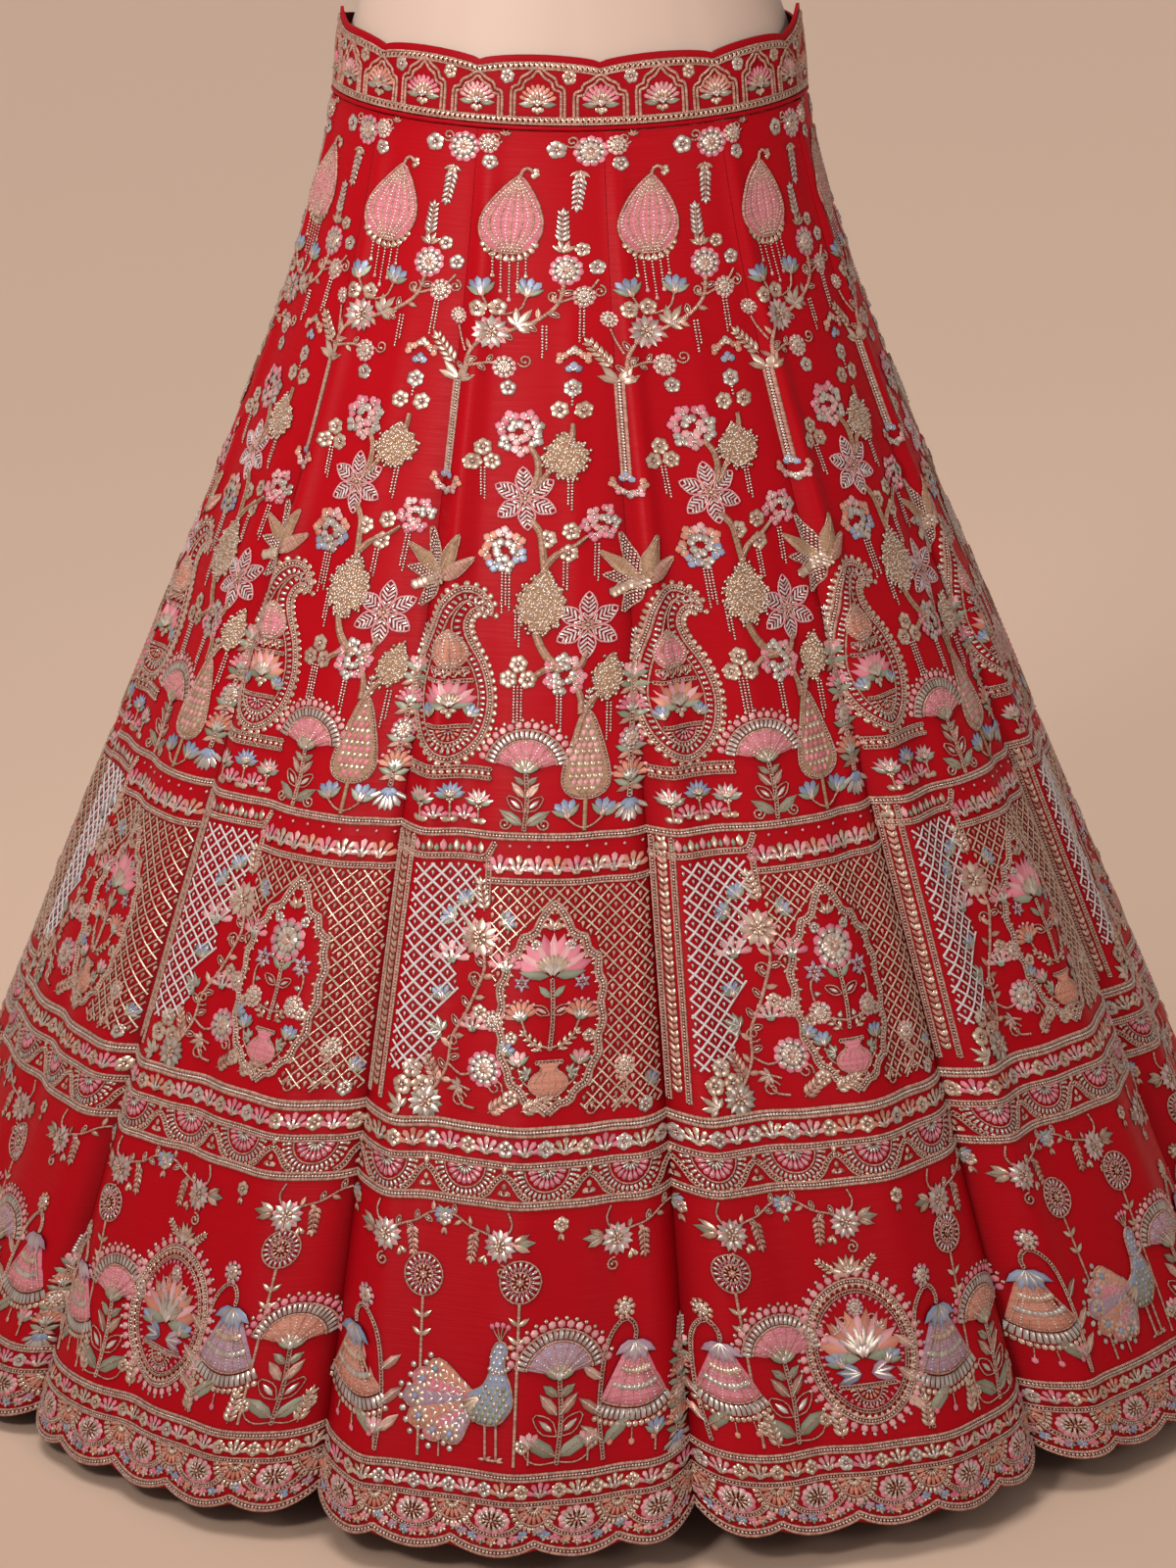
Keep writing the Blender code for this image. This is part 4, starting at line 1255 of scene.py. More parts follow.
def cypress(spot, width, height, colours, stem):
    # slim tree covered with rows of small leaves
    outline = rounded(cypressForm, (width, height), 4)
    spot.fill(outline, 0.5, "dullZari")
    spot.beadLines(looped(outline), 3.8)
    rows = int(height / 5.0)
    for r in range(rows):
        y = height * (0.04 + 0.86 * r / rows)
        half = np.interp(y / height, cypressForm[:7, 1], cypressForm[:7, 0]) * width - 3.4
        count = max(1, int(2 * half / 4.0))
        xs = (np.arange(count) - (count - 1) / 2) * (2 * half / count) if half > 1 else [0]
        spot.petals([(x, y, 90) for x in xs], 6.0, 4.3, 1.4, "seed", colours[r % 2], 0.5)
    spot.cord([(0, -stem), (0, 2)], 3.2, 1.5, "dullZari", 5)
    sprig(spot.spot(0, height), height * 0.24, 4, 5.0, "silverSequin")


def tallStalk(spot, width, height, body):
    # hollyhock: blooms one above the other on a beaded stem
    spot.beadLines([(0, 6), (0, height * 0.80)], 4.2)
    low = (206, 232, 254, 270, 286, 308, 334)
    spot.spray(low, width * 0.74, width * 0.22, 1.1, "seed", "silverSequin", at=(0, 4))
    spot.spray((218, 243, 270, 297, 322), width * 0.44, width * 0.20, 1.1, "leaf", "blue", 0.8, at=(0, 5))
    blooms = ((0.15, carnationHead, 0, 0.72, "peach"), (0.34, rosette, 4, 0.44, body),
              (0.53, carnationHead, 0, 0.60, body), (0.70, tulip, 1, 0.62, "blush"))
    for share, kind, up, size, finish in blooms:
        here = spot.spot(0, height * share)
        here.spray((22, 158), width * 0.62, width * 0.24, 1.2, "leaf", "mint", 0.4, at=(0, -5))
        here.spray((338, 202), width * 0.52, width * 0.20, 1.2, "leaf", "zari", 0.3, at=(0, -5))
        kind(here.spot(0, up), width * size, finish)
    sprig(spot.spot(0, height * 0.80), height * 0.20, 6, 5.4, "silverSequin")


def palmSpray(spot, size):
    # seven large leaves round one heart, each worked in its own way
    leaves = ((168, 0.72, "bead"), (138, 0.92, "dullZari"), (104, 1.0, "bead"), (66, 1.0, "dullZari"),
              (34, 0.80, "zari"), (200, 0.66, "discs"), (232, 0.78, "bead"))
    for turn, reach, finish in leaves:
        leaf = spot.spot(0, 0, turn - 90)
        length, half = size * reach, size * 0.15
        outline = rounded(mirrored((0, 0), (1, 0.40), (0.62, 0.76), (0, 1.06)), (half, length))
        if finish == "bead":
            leaf.beads(inShape(outline, 2.5, 0.1), 2.2, 1.3, "bead", 0.4)
        elif finish == "discs":
            for k, y in enumerate(np.arange(length * 0.10, length * 0.86, size * 0.115)):
                lift = 0.2 + 0.16 * (k % 3)
                leaf.petal(size * 0.20, half * 1.55, 1.3, "round", "sequin", lift, at=(0, y))
        else:
            leaf.fill(outline, 1.1, finish)
            leaf.cord([(0, 0), (0, length * 0.94)], 0.9, 0.6, "zari", 5, 1.1)
        leaf.cord(looped(outline), 1.2, 1.0, "zari", size * 0.12)
    spot.rings(size, (6, 0.03, 90, 360, 0.13, 0.11, 1.0, "round", "sequin", 1.2))
    spot.bead(size * 0.09, 1.1, "bead", 2.0)


def veinedLeaf(spot, length, width, finish, vein, share):
    spot.petal(length, width, 1.2, "leaf", finish)
    spot.cord([(0, 1), (0, length * share)], 0.9, 0.5, vein, 6, 1.2)


def fanRibs(spot, radius, turns, beaded, pitch, sewn, width, lift):
    # beaded and corded lines in turn, outward from one place
    for k, turn in enumerate(turns):
        way = toward(turn) * radius
        if k % 2:
            spot.beadLine([way * part for part in beaded], pitch, 1.9, 1.0, "bead", lift + 0.1)
        else:
            spot.cord([way * part for part in sewn], width, 1.0, "zari", 5, lift)


def carnation(spot, height, body="pink", tip="blush", rich=True, share=0.31):
    # fan flower on a leafy stem
    r = height * share
    heart = height * 0.56
    spot.beadLines(curve([(0, 0), (height * 0.02, heart * 0.5), (0, heart)], 4), 3.4)
    leaves = ((0.05, 58, 0.27, 0.10, "mint"), (0.31, 40, 0.19, 0.075, "zari"), (0.43, 52, 0.13, 0.06, "mint"))
    for side in (-1, 1):
        for y, turn, reach, wide, kind in leaves:
            low = spot.spot(side * 0.6, height * y, -side * turn)
            vein = "bead" if kind == "zari" else "zari"
            veinedLeaf(low, height * reach, height * wide, kind, vein, 0.88)
        openLeaf(spot.spot(side * 0.6, height * 0.18, -side * 48), height * 0.22)
        if rich:
            line = np.array([(0, 0.02), (side * 0.12, 0.01), (side * 0.20, 0.05), (side * 0.23, 0.12)])
            spot.cord(curve(line * height, 3), 1.2, 0.9)
            sequinFlower(spot.spot(side * height * 0.23, height * 0.13), height * 0.05, "sequin", 6)
    fan = spot.spot(0, heart)
    fan.fill(np.vstack(((0, 0), circle(r * 0.72, 14, 1, 14, 152))), 1.3, body, 0.2, 0.9)
    fanRibs(fan, r, np.linspace(22, 158, 11), (0.22, 0.68), 2.2, (0.10, 0.72), 1.5, 1.2)
    fan.cord(circle(r * 0.73, 16, 1, 12, 156), 1.8, 1.3, "zari", 4, 0.4)
    fan.rings(r, (21, 0.77, 14, 152, 0.20, 0.085, 1.2, "rod", "silverSequin"))
    fan.cord(circle(r * 0.98, 16, 1, 12, 156), 1.4, 1.0)
    fan.rings(r, (15, 1.0, 16, 148, 0.18, 0.175, 1.3, "round", tip),
        (14, 1.16, 21, 138, 0.09, 0.09, 1.0, "round", "sequin"))
    low = (0, -height * 0.02)
    fan.spray((30, 56, 90, 124, 150), r * 0.42, r * 0.13, 1.3, "leaf", "mint", 1.0, at=low)
    fan.spray((43, 73, 107, 137), r * 0.34, r * 0.09, 1.3, "seed", "sequin", 1.3, at=low)
    fan.petal(height * 0.07, height * 0.055, 1.2, "round", "silverSequin", 1.6, at=(0, -height * 0.03))


def bellFlower(spot, height, body, under, calyx="blue", flip=False):
    # a nodding bell on a hooked stem, silver rods along its hem
    plant = spot.spot(0, 0, 0, 1, flip)
    stem = np.array([(-0.16, 0), (-0.20, 0.34), (-0.16, 0.74), (-0.04, 0.90), (0.04, 0.84), (0.04, 0.76)])
    plant.beadLines(curve(stem * height, 5), 3.2)
    bell = plant.spot(height * 0.04, height * 0.74)
    r = height * 0.50
    skirted = np.vstack(((-r * 0.10, 0), (r * 0.10, 0), circle(r * 0.84, 10, 1, 304, -68)))
    bell.fill(skirted, 1.5, body, 0.2, 0.9)
    fanRibs(bell, r, np.linspace(240, 300, 9), (0.34, 0.80), 2.3, (0.12, 0.84), 1.4, 1.4)
    bell.rings(r, (9, 0.34, 242, 56, 0.10, 0.09, 1.2, "round", "sequin", 1.7),
        (10, 0.56, 242, 56, 0.10, 0.10, 1.2, "round", "silverSequin", 1.7))
    bell.cord(circle(r * 0.85, 12, 1, 237, 66), 1.6, 1.3, "zari", 4, 0.5)
    bell.rings(r, (15, 0.88, 238, 64, 0.15, 0.062, 1.3, "rod", "silverSequin"),
        (14, 1.04, 240, 60, 0.085, 0.085, 1.1, "round", "sequin"))
    bell.spray((212, 240, 270, 300, 328), r * 0.34, r * 0.13, 1.4, "leaf", calyx, 1.7, at=(0, r * 0.02))
    bell.spray((226, 255, 285, 314), r * 0.24, r * 0.08, 1.2, "seed", "silverSequin", 2.2, at=(0, r * 0.02))
    for turn in (256, 270, 284):
        way = toward(turn) * r
        bell.cord([way * 1.12, way * 1.28], 1.0, 0.8)
        bell.spray((turn,), r * 0.10, r * 0.09, 1.1, "round", under, at=way * 1.26)
    for y, side, size in ((0.10, 1, 0.26), (0.12, -1, 0.20), (0.30, -1, 0.20), (0.52, -1, 0.18)):
        leafy = plant.spot(-height * (0.17 + 0.02 * (y > 0.2)), height * y, side * -52)
        tones = ("mint", "zari") if side > 0 else ("zari", "bead")
        veinedLeaf(leafy, height * size, height * size * 0.36, *tones, 0.86)
    rosette(plant.spot(-height * 0.045, height * 0.965), height * 0.075, under, 9)


def garland(spot, size, flip):
    # spray that hangs from a border: a flower, a leaf pair, a creeper, a sprig and a curl
    g = spot.spot(0, 0, 0, size, flip)
    creeper = curve([(-2, -20), (9, -15), (20, -12), (30, -6), (37, -5)], 5)
    g.cord(creeper, 1.5, 1.0)
    creeperLeaves(g, creeper[4:-4], 6.6, 7.0, 0.6)
    tulip(g.spot(38, -6, -100), 8.4, "blue")
    sprig(g.spot(17, -15, 186), 19, 5, 6.2)
    lily(g.spot(-1, -22), 11.5)
    for turn in (58, 86, 114):
        leaf = g.spot(-10, -20, turn)
        leaf.petal(15 - abs(turn - 86) * 0.10, 5.4, 1.2, "leaf", "mint" if turn == 86 else "sequin")
        leaf.petal(11, 0.9, 0.6, "rod", "zari", 1.2, at=(0, 1))
    g.cord(curve([(-6, -14), (-9, -8), (-6, 0)], 3), 1.4, 1.0)
    scroll(g.spot(-2, -34, -100), 4.6)
    g.spot(9, -29, 200).spray((66, 114), 6.4, 3.6, 1.1, "seed", "sequin")


def sunDisc(spot, radius, stem):
    # round fringed flower on a straight stem
    spot.cord([(0, -stem), (0, -radius)], 2.2, 0.8, "zari", 6)
    for y in (0.24, 0.34):
        spot.spray((38, 142), radius * 0.62, radius * 0.24, 1.1, "leaf", "sequin", at=(0, -stem * y))
    spot.cord(circle(radius * 0.98, 20), 1.2, 0.9)
    spot.rings(radius, (19, 0.52, 90, 360, 0.42, 0.15, 1.3, "seed", "silverSequin"),
        (19, 0.46, 99, 360, 0.22, 0.06, 1.0, "rod", "pink"))
    spot.cord(circle(radius * 0.47, 14), 1.5, 1.1, "zari", 3)
    spot.rings(radius, (11, 0.22, 90, 360, 0.22, 0.13, 1.1, "seed", "sequin", 0.4),
        (6, 0.02, 90, 360, 0.20, 0.15, 1.0, "round", "zari", 0.8))
    spot.bead(radius * 0.18, 1.2, "bead", 1.6)


def peacock(spot, size, body, tail):
    # standing bird seen from the side, tail swept down behind it
    plumes = ((232, 0.78), (216, 0.98), (200, 1.12), (184, 1.14), (168, 1.02), (153, 0.86))
    for k, (turn, reach) in enumerate(plumes):
        plume = spot.spot(size * 0.03, size * 0.42, turn - 90)
        length, wide = size * 0.50 * reach, size * 0.082
        outline = rounded([(0, 0), (0.6, 0.45), (1, 0.84), (0, 1), (-1, 0.84), (-0.6, 0.45)], (wide, length))
        plume.fill(outline, 1.1, (tail, "pink", "peach")[k % 3], 0.1 + 0.05 * k)
        plume.cord(looped(outline), 1.4, 1.2, "zari", 5)
        barbs = [(0, length * t, a) for t in (0.22, 0.34, 0.46, 0.58) for a in (50, 130)]
        plume.petals(barbs, size * 0.065, 1.6, 0.9, "rod", "silverSequin", 1.1)
        eye = ring(7, size * 0.016) + (0, length * 0.81, 0)
        plume.petals(eye, size * 0.056, size * 0.040, 1.1, "round", "sequin", 1.2)
        plume.petal(size * 0.055, size * 0.045, 1.0, "round", "blue", 1.9, at=(0, length * 0.78))
        plume.petals(ring(3, length * 0.98, 82, 16), size * 0.045, size * 0.045, 1.1, "round", "silverSequin")
    chest = rounded(chestForm, size)
    spot.fill(chest, 1.6, body, 0.3, 0.86)
    spot.cord(looped(chest), 1.6, 1.7)
    scales = inShape(chest * 0.90 + (size * 0.012, size * 0.045), size * 0.042, 0.1)
    low, high = scales[scales[:, 1] < size * 0.56], scales[scales[:, 1] >= size * 0.56]
    spot.petals([(x, y, 250) for x, y in low], size * 0.050, size * 0.036, 1.0, "round", "mint", 1.7)
    spot.petals([(x, y, 250) for x, y in low[::2]], size * 0.036, size * 0.020, 0.8, "seed", "sequin", 2.3)
    spot.beads(high, size * 0.030, 1.1, "bead", 1.8)
    wing = (size * 0.04, size * 0.43)
    spot.spray((196, 214, 232), size * 0.16, size * 0.040, 1.2, "leaf", "sequin", 2.1, at=wing)
    spot.spray((0,), size * 0.07, size * 0.035, 1.2, "leaf", "zari", 1.0, at=(size * 0.215, size * 0.79))
    spot.beads([(size * 0.185, size * 0.785)], size * 0.035, 1.0, "silverSequin", 2.6)
    crown = np.array((size * 0.17, size * 0.82))
    for turn in (62, 82, 102, 122):
        way = toward(turn) * size
        spot.cord([crown, crown + way * 0.10], 0.9, 0.8)
        spot.spray((turn,), size * 0.042, size * 0.038, 1.1, "round", "pink", at=crown + way * 0.095)
    collar = ring(7, size * 0.085, 236, 80) + (size * 0.165, size * 0.72, 0)
    spot.petals(collar, size * 0.034, size * 0.028, 1.1, "round", "silverSequin", 2.0)
    for x in (0.08, 0.16):
        foot = (size * (x + 0.01), size * 0.03)
        spot.cord([(size * x, size * 0.28), foot], 2.0, 1.2, "zari", 5)
        spot.spray((180, 0, 30), size * 0.055, size * 0.022, 0.9, "leaf", "zari", at=foot)


def bloomDisc(spot, width, height):
    # large oval wreath with a lotus pond inside
    outline = circle(width / 2, 40, height / width)[:-1]
    inner = outline * 0.86
    spot.petals(outward(outline, 6.4, -2.4), 5.8, 5.6, 1.2, "round", "blush")
    spot.petals(outward(outline, 6.4, -7.6), 2.8, 2.8, 1.0, "round", "silverSequin")
    spot.beadLines(looped(outline), 5.4)
    spot.petals(outward(outline * 0.885, 4.6), 4.6, 4.0, 1.2, "seed", "sequin")
    spot.beadLines(looped(inner), 3.0)
    spot.petals(outward(inner, 5.6, 5.6), 3.6, 2.6, 1.1, "seed", "pink")
    lotus(spot.spot(0, -height * 0.04), width * 0.56, ("peach", "blush"), "mint", False, 11)
    rays = ring(6, width * 0.06, 36, 108) + (0, -height * 0.03, 0)
    spot.petals(rays, width * 0.20, width * 0.035, 1.0, "rod", "silverSequin", 1.3)
    for side in (-1, 1):
        turns = [90 - side * turn for turn in (60, 84, 108)]
        tulip(spot.spot(side * width * 0.22, -height * 0.10, side * -24), width * 0.17, "blue")
        leaf, vein = (spot.spot(side * width * x, -height * 0.16) for x in (0.05, 0.07))
        leaf.spray(turns, width * 0.24, width * 0.085, 1.2, "leaf", "mauve" if side > 0 else "blue")
        vein.spray(turns, width * 0.18, width * 0.02, 0.8, "rod", "bead", 1.3)
        scroll(spot.spot(side * width * 0.07, height * 0.22), width * 0.07, side)
        leafCluster(spot.spot(side * width * 0.20, height * 0.15, side * -34), width * 0.10)
    spot.beadLines([(-width * 0.28, -height * 0.245), (width * 0.28, -height * 0.245)], 3.6)
    fanFlower(spot.spot(0, -height * 0.26), width * 0.17, "peach", "silverSequin", 7)
    rosette(spot.spot(0, height * 0.31), width * 0.085)
    lotus(spot.spot(0, height * 0.55), width * 0.24, ("sequin", "zari"), "zari", False)
    for side in (-1, 1):
        sprig(spot.spot(side * width * 0.14, height * 0.57, side * -50), width * 0.17, 4, 5.2, "sequin")


def medallion(spot, wide, tall, plan):
    # lobed medallion with a flowering plant in a vase
    def stem(s, per, width, *places):
        path = curve([(s * x * wide, y * tall) for x, y in places], per)
        if width > 3:
            spot.beadLines(path, width)
        else:
            spot.cord(path, width, 0.9 if width < 1.5 else 1.0)

    outline = rounded(medallionForm, (wide, tall), 2)
    spot.beadLines(looped(outline), 6.2)
    spot.petals(outward(outline, 6.0, 5.4), 3.2, 2.6, 1.1, "seed", "sequin")
    vase(spot.spot(0, -tall * 0.43), wide * 0.40, "pink" if plan else "peach")
    stem(1, 5, 3.2, (0, -0.20), (0.02, -0.05), (0, 0.14))
    for s in (-1, 1):
        sprig(spot.spot(s * wide * 0.08, -tall * 0.20, s * -46), wide * 0.28, 4, 6.0, "sequin")
        tulip(spot.spot(s * wide * 0.30, -tall * 0.27, s * -10), wide * 0.15, "blue" if plan else "blush")
        stem(s, 3, 1.3, (0.30, -0.28), (0.26, -0.34), (0.16, -0.38))
        openLeaf(spot.spot(s, -tall * 0.03, s * -62), wide * 0.20)
        spot.spot(s, tall * 0.05, s * -44).petal(wide * 0.17, wide * 0.07, 1.1, "leaf", "mint")
        sequinFlower(spot.spot(s * wide * 0.39, -tall * 0.14), wide * 0.070)
        leafCluster(spot.spot(s * wide * 0.20, -tall * 0.31, s * -70), wide * 0.13, "mint")
        sequinFlower(spot.spot(s * wide * 0.17, tall * 0.30), wide * 0.060, "silverSequin")
    if plan == 0:
        lotus(spot.spot(0, tall * 0.16), wide * 0.54, ("pink", "blush"), "mint", False, 11)
        for s in (-1, 1):
            stem(s, 4, 1.6, (0, -0.19), (0.20, -0.15), (0.29, -0.05))
            carnationHead(spot.spot(s * wide * 0.29, -tall * 0.05, s * -14), wide * 0.20)
            starlet(spot.spot(s * wide * 0.30, tall * 0.12), wide * 0.09)
        budPair(spot.spot(0, tall * 0.375), wide * 0.10)
    else:
        rosette(spot.spot(0, tall * 0.20), wide * 0.22)
        spot.rings(wide, (11, 0.235, 90, 360, 0.07, 0.06, 1.1, "seed", "silverSequin"))
        budPair(spot.spot(0, tall * 0.36), wide * 0.10)
        for s in (-1, 1):
            stem(s, 4, 1.6, (0, -0.16), (0.26, -0.12), (0.33, 0.02), (0.24, 0.08))
            rosette(spot.spot(s * wide * 0.28, -tall * 0.11), wide * 0.115, "blush")
            starlet(spot.spot(s * wide * 0.26, tall * 0.09), wide * 0.12)


def carnationHead(spot, radius, body="peach"):
    spot.rings(radius, (7, 0.15, 20, 140, 0.75, 0.30, 1.1, "seed", body),
        (5, 0.05, 36, 108, 0.45, 0.12, 0.9, "rod", "bead", 0.9),
        (8, 0.84, 18, 144, 0.20, 0.18, 1.0, "round", "blush"))
    spot.spray((40, 140, 90), radius * 0.5, radius * 0.22, 1.0, "leaf", "mint", 0.7, at=(0, -radius * 0.1))


def starlet(spot, radius):
    spot.rings(radius, (6, 0.2, 90, 360, 0.8, 0.4, 1.1, "leaf", "mauve"),
        (6, 0.15, 120, 360, 0.4, 0.16, 0.9, "seed", "bead", 0.6))
    spot.bead(radius * 0.34, 1.3, "zari", 0.9)


# the kalis' embroidery

layout = {  # places down the kali in mm, counts, and shares of its width
    "lift": 0.30, "topLine": 717.5, "rowOne": 729.5, "lineTwo": 741.0, "lineThree": 768.0, "hemLine": 952.5,
    "hemRow": 962.0, "hemLineTwo": 970.5, "ground": 945.0, "fans": 4, "fanRadius": 21.5, "rowFlowers": 17,
    "hemFlowers": 22, "garlands": (-0.345, -0.01, 0.33), "garlandLine": 773, "garlandSize": 1.06,
    "hemMiddle": 985.0, "hemBlooms": 982.4, "edgeLines": (1.3, 3.3, 5.3), "fieldTop": 512.0,
}


def sewRows(root, rows):
    # each row: motif, x, down the kali, turn, then what the motif is given
    for kind, x, down, turn, *rest in rows:
        kind(root.spot(x, -down, turn), *rest)


def stalks(root, rows):
    # each row: width, leaves (pitch, length, open share) and the places the stem passes
    for width, leaves, *places in rows:
        path = curve([(x, -down) for x, down in places], 4)
        root.cord(path, width, 1.0 + width * 0.1)
        if leaves:
            creeperLeaves(root, path[1:-2], *leaves)


def bandFlowers(root, down, count, width, size=1.0):
    # sequin flowers and small lotus tufts in turn
    for k in range(count):
        here = root.spot((k + 0.5 - count / 2) * width / count, -down)
        if k % 2:
            finish = random.choice(("blush", "pink", "sequin", "peach"))
            tuft(here.spot(0, -4.0 * size), 12.6 * size, finish)
            finish = random.choice(("mint", "zari", "sequin"))
            here.spray((8, 172), 5.6 * size, 2.6 * size, 1.1, "leaf", finish, 0.4, at=(0, -3.4 * size))
        else:
            finish = random.choice(("sequin", "sequin", "silverSequin"))
            sequinFlower(here, 6.4 * size, finish, 6 if k % 4 else 5)


def seamToSeam(root, down, wide):
    # two cords and beads from seam to seam
    half = widthAt(down) / 2
    root.beadLines([(-half, -down), (half, -down)], wide)


topRows = (
    (sequinFlower, 11, 17, 10, 6.6, "silverSequin"), (scroll, 17, 14, 40, 4.6), (rosette, 32, 18, 0, 10.6),
    (budPair, 26, 32, 176, 6.0), (sprig, 26, 35, 176, 25, 6, 6.6, "silverSequin"),
    (scroll, -23, 12, -30, 4.6, -1), (rosette, -32, 14, 0, 6.8, "blush"),
    (sequinFlower, -31, 27, 36, 5.4, "silverSequin"), (budPair, -21, 8, 0, 3.6, "zari"),
    (pendant, -18, 92, 0, 40, 56, "pink"), (tulip, -35, 122, 14, 13), (tulip, -6, 122, -14, 13),
    (leafCluster, -12, 144, -38, 16, "sequin"), (lily, -29, 149, 0, 13.0), (sequinFlower, -38, 132, 0, 6.4),
    (sequinFlower, -25, 131, 0, 6.4), (rosette, -52, 139, 0, 5.8, "blush"),
    (sprig, -55, 174, 34, 24, 5, 8.0, "sequin"), (rosette, -20, 174, 0, 8.0, "blush"),
    (scroll, -11, 171, 24, 5.0), (sequinFlower, -17, 189, 0, 5.8, "silverSequin"),
    (sprig, 16, 84, 0, 24, 6, 6.8, "silverSequin"), (budPair, 17, 90, 0, 7.0),
    (sequinFlower, 29, 88, 20, 5.2), (rosette, 19, 103, 0, 10.8), (scroll, 14, 117, 60, 5.4, -1),
    (rosette, 31, 122, 0, 7.6, "blush"), (scroll, 41, 114, 90, 4.6, -1),
    (sequinFlower, 39, 101, 0, 5.6, "silverSequin"), (strands, 30, 130, 0, (22, 18)),
    (strands, 6, 144, 0, (20, 14)),
)
topStalks = (
    (1.6, (), (-20, 136), (-30, 132), (-35, 122)), (1.6, (), (-20, 136), (-10, 132), (-6, 122)),
    (2.8, (8.0, 8.4), (-47, 182), (-44, 166), (-34, 154), (-18, 148), (0, 140), (14, 128), (18, 112)),
    (1.6, (), (-46, 164), (-50, 154), (-52, 146)), (2.0, (6.5, 6.8, 0.8), (-46, 174), (-32, 171), (-20, 173)),
    (1.8, (), (16, 126), (26, 122), (34, 118), (40, 110)),
)


def sewTop(root):
    # sprays below the waistband, a hanging paisley, a branch and the slim trunk on the seam
    stalks(root, topStalks)
    sewRows(root, topRows)
    left = -widthAt(220.0) / 2
    crown, base = root.spot(left + 6, -184), root.spot(left - 1, -256)
    crown.petals([(0, -1, 20), (0, -1, 160), (0, 0, 48), (0, 0, 132)], 15, 6.0, 1.2, "leaf", "sequin")
    crown.spray((20, 160), 12, 1.0, 0.6, "rod", "zari", 1.2, at=(0, -1))
    root.beadLines([(left + 6, -184), (left - 1, -254)], 7.0)
    for turn in (-76, -38, 0, 38, 76):
        x, y, _ = ring(1, 8.6, 270 + turn)[0]
        trefoil(base.spot(x, y, 180 + turn), 5.2, ("silverSequin", "blush", "peach")[abs(turn) // 38])
    trefoil(base, 5.8, "blue")


treeRows = (
    (trefoil, 19, 167, 46, 5.6, "peach"), (trefoil, 26, 163, 0, 5.6, "sequin"),
    (trefoil, 33, 167, -46, 5.6, "peach"), (trefoil, 26, 175, 0, 6.0, "blue"),
    (sequinFlower, 26, 188, 0, 6.6, "silverSequin", 6), (sequinFlower, 18, 204, 12, 6.6, "sequin", 6),
    (sequinFlower, 34, 204, -9, 6.6, "sequin", 6),
    (bouquet, -8, 221, 0, 35,
        ("silverSequin", "silverSequin", "pink", "pink", "pink", "silverSequin", "blush"), 7, -62),
    (caviarLeaf, 25, 254, 6, 31, 34), (strands, 27, 254, 0, (16, 20)), (triad, -33, 242, 0, 6.4, (17, 20)),
    (starFlower, -3, 269, 0, 23, 96),
    (bouquet, -17, 307, 0, 35, ("blue", "peach", "blush", "peach", "peach", "blue", "silverSequin"), 7, -48),
    (strands, -15, 324, 0, (26, 20, 24)), (sequinFlower, 13, 298, 14, 6.8, "sequin", 6),
    (sequinFlower, 29, 292, -12, 6.8, "sequin", 6), (sequinFlower, 28, 308, 6, 6.8, "sequin", 6),
    (strands, 26, 315, 0, (14, 17)),
    (bouquet, 49, 287, 0, 29, ("pink", "pink", "silverSequin", "pink", "blush"), 6, 215),
    (strands, 47, 302, 0, (20, 24)), (caviarLeaf, 9, 367, -4, 34, 47), (strands, -6, 352, 0, (16, 22)),
    (starFlower, 43, 360, 0, 24, 90), (triad, -4, 399, 0, 6.8, (22, 30, 26)),
    (bouquet, 28, 396, 0, 32,
        ("pink", "pink", "blush", "silverSequin", "pink", "pink", "silverSequin"), 7, -80),
    (strands, 25, 411, 0, (17, 22)), (caviarLeaf, 56, 414, -10, 22, 34), (strands, 60, 417, 0, (24, 18)),
)
branches = (
    ((0.6, 1.0), (27, 214), (27, 222), (24, 232)), ((0.7, 1.1), (-2, 230), (4, 240), (5, 252), (2, 262)),
    ((0.6, 1.0), (14, 246), (8, 256), (3, 262)), ((0.9, 1.0), (1, 284), (8, 294), (10, 306), (12, 322)),
    ((1.0, 0.5), (12, 318), (20, 309), (30, 304), (40, 296)),
    ((1.0, 1.2), (7, 366), (12, 378), (20, 388), (28, 391)), ((1.1, 0.7), (26, 391), (16, 392), (6, 398)),
    ((0.7, 1.0), (43, 378), (40, 388), (34, 393)), ((0.8, 1.2), (53, 408), (45, 420), (40, 434), (38, 446)),
    ((0.7, 1.0), (34, 398), (40, 412), (41, 424)),
)


def sewTree(root):
    # flowering branch down the middle of the kali
    for taper, *places in branches:
        path = curve([(x, -down) for x, down in places], 5)
        root.cord(path, 5.4, 1.5, "dullZari", taper=taper)
        root.cord(path, 1.8, 0.5, "zari", 4, 1.3)
    root.beadLine([(26, -195), (26, -200)], 2.2, 2.0)
    sewRows(root, treeRows)


def sewPaisley(tall, plan):
    # the tall paisley, with lotuses and tufts below it
    paisley(tall.spot(-2, 47), 62, 124, "pink" if plan else "peach",
        ("peach", "blush") if plan else ("pink", "blush"))
    beadedBand(tall.spot(-1, 35), 62, 6.5)
    for x, colour, reach in ((-21, "silverSequin", 17), (0, "blue", 21), (21, "silverSequin", 17)):
        tall.cord([(x, 2), (x, reach - 4)], 1.6, 1.0)
        lotus(tall.spot(x, reach - 1), 15, (colour, "blush" if x else colour))
        tall.spray((18, 162), 6.4, 5.0, 1.1, "round", "sequin", at=(x, 3))
    for x in (-10.5, 10.5):
        tuft(tall.spot(x, 5), 11, "pink")


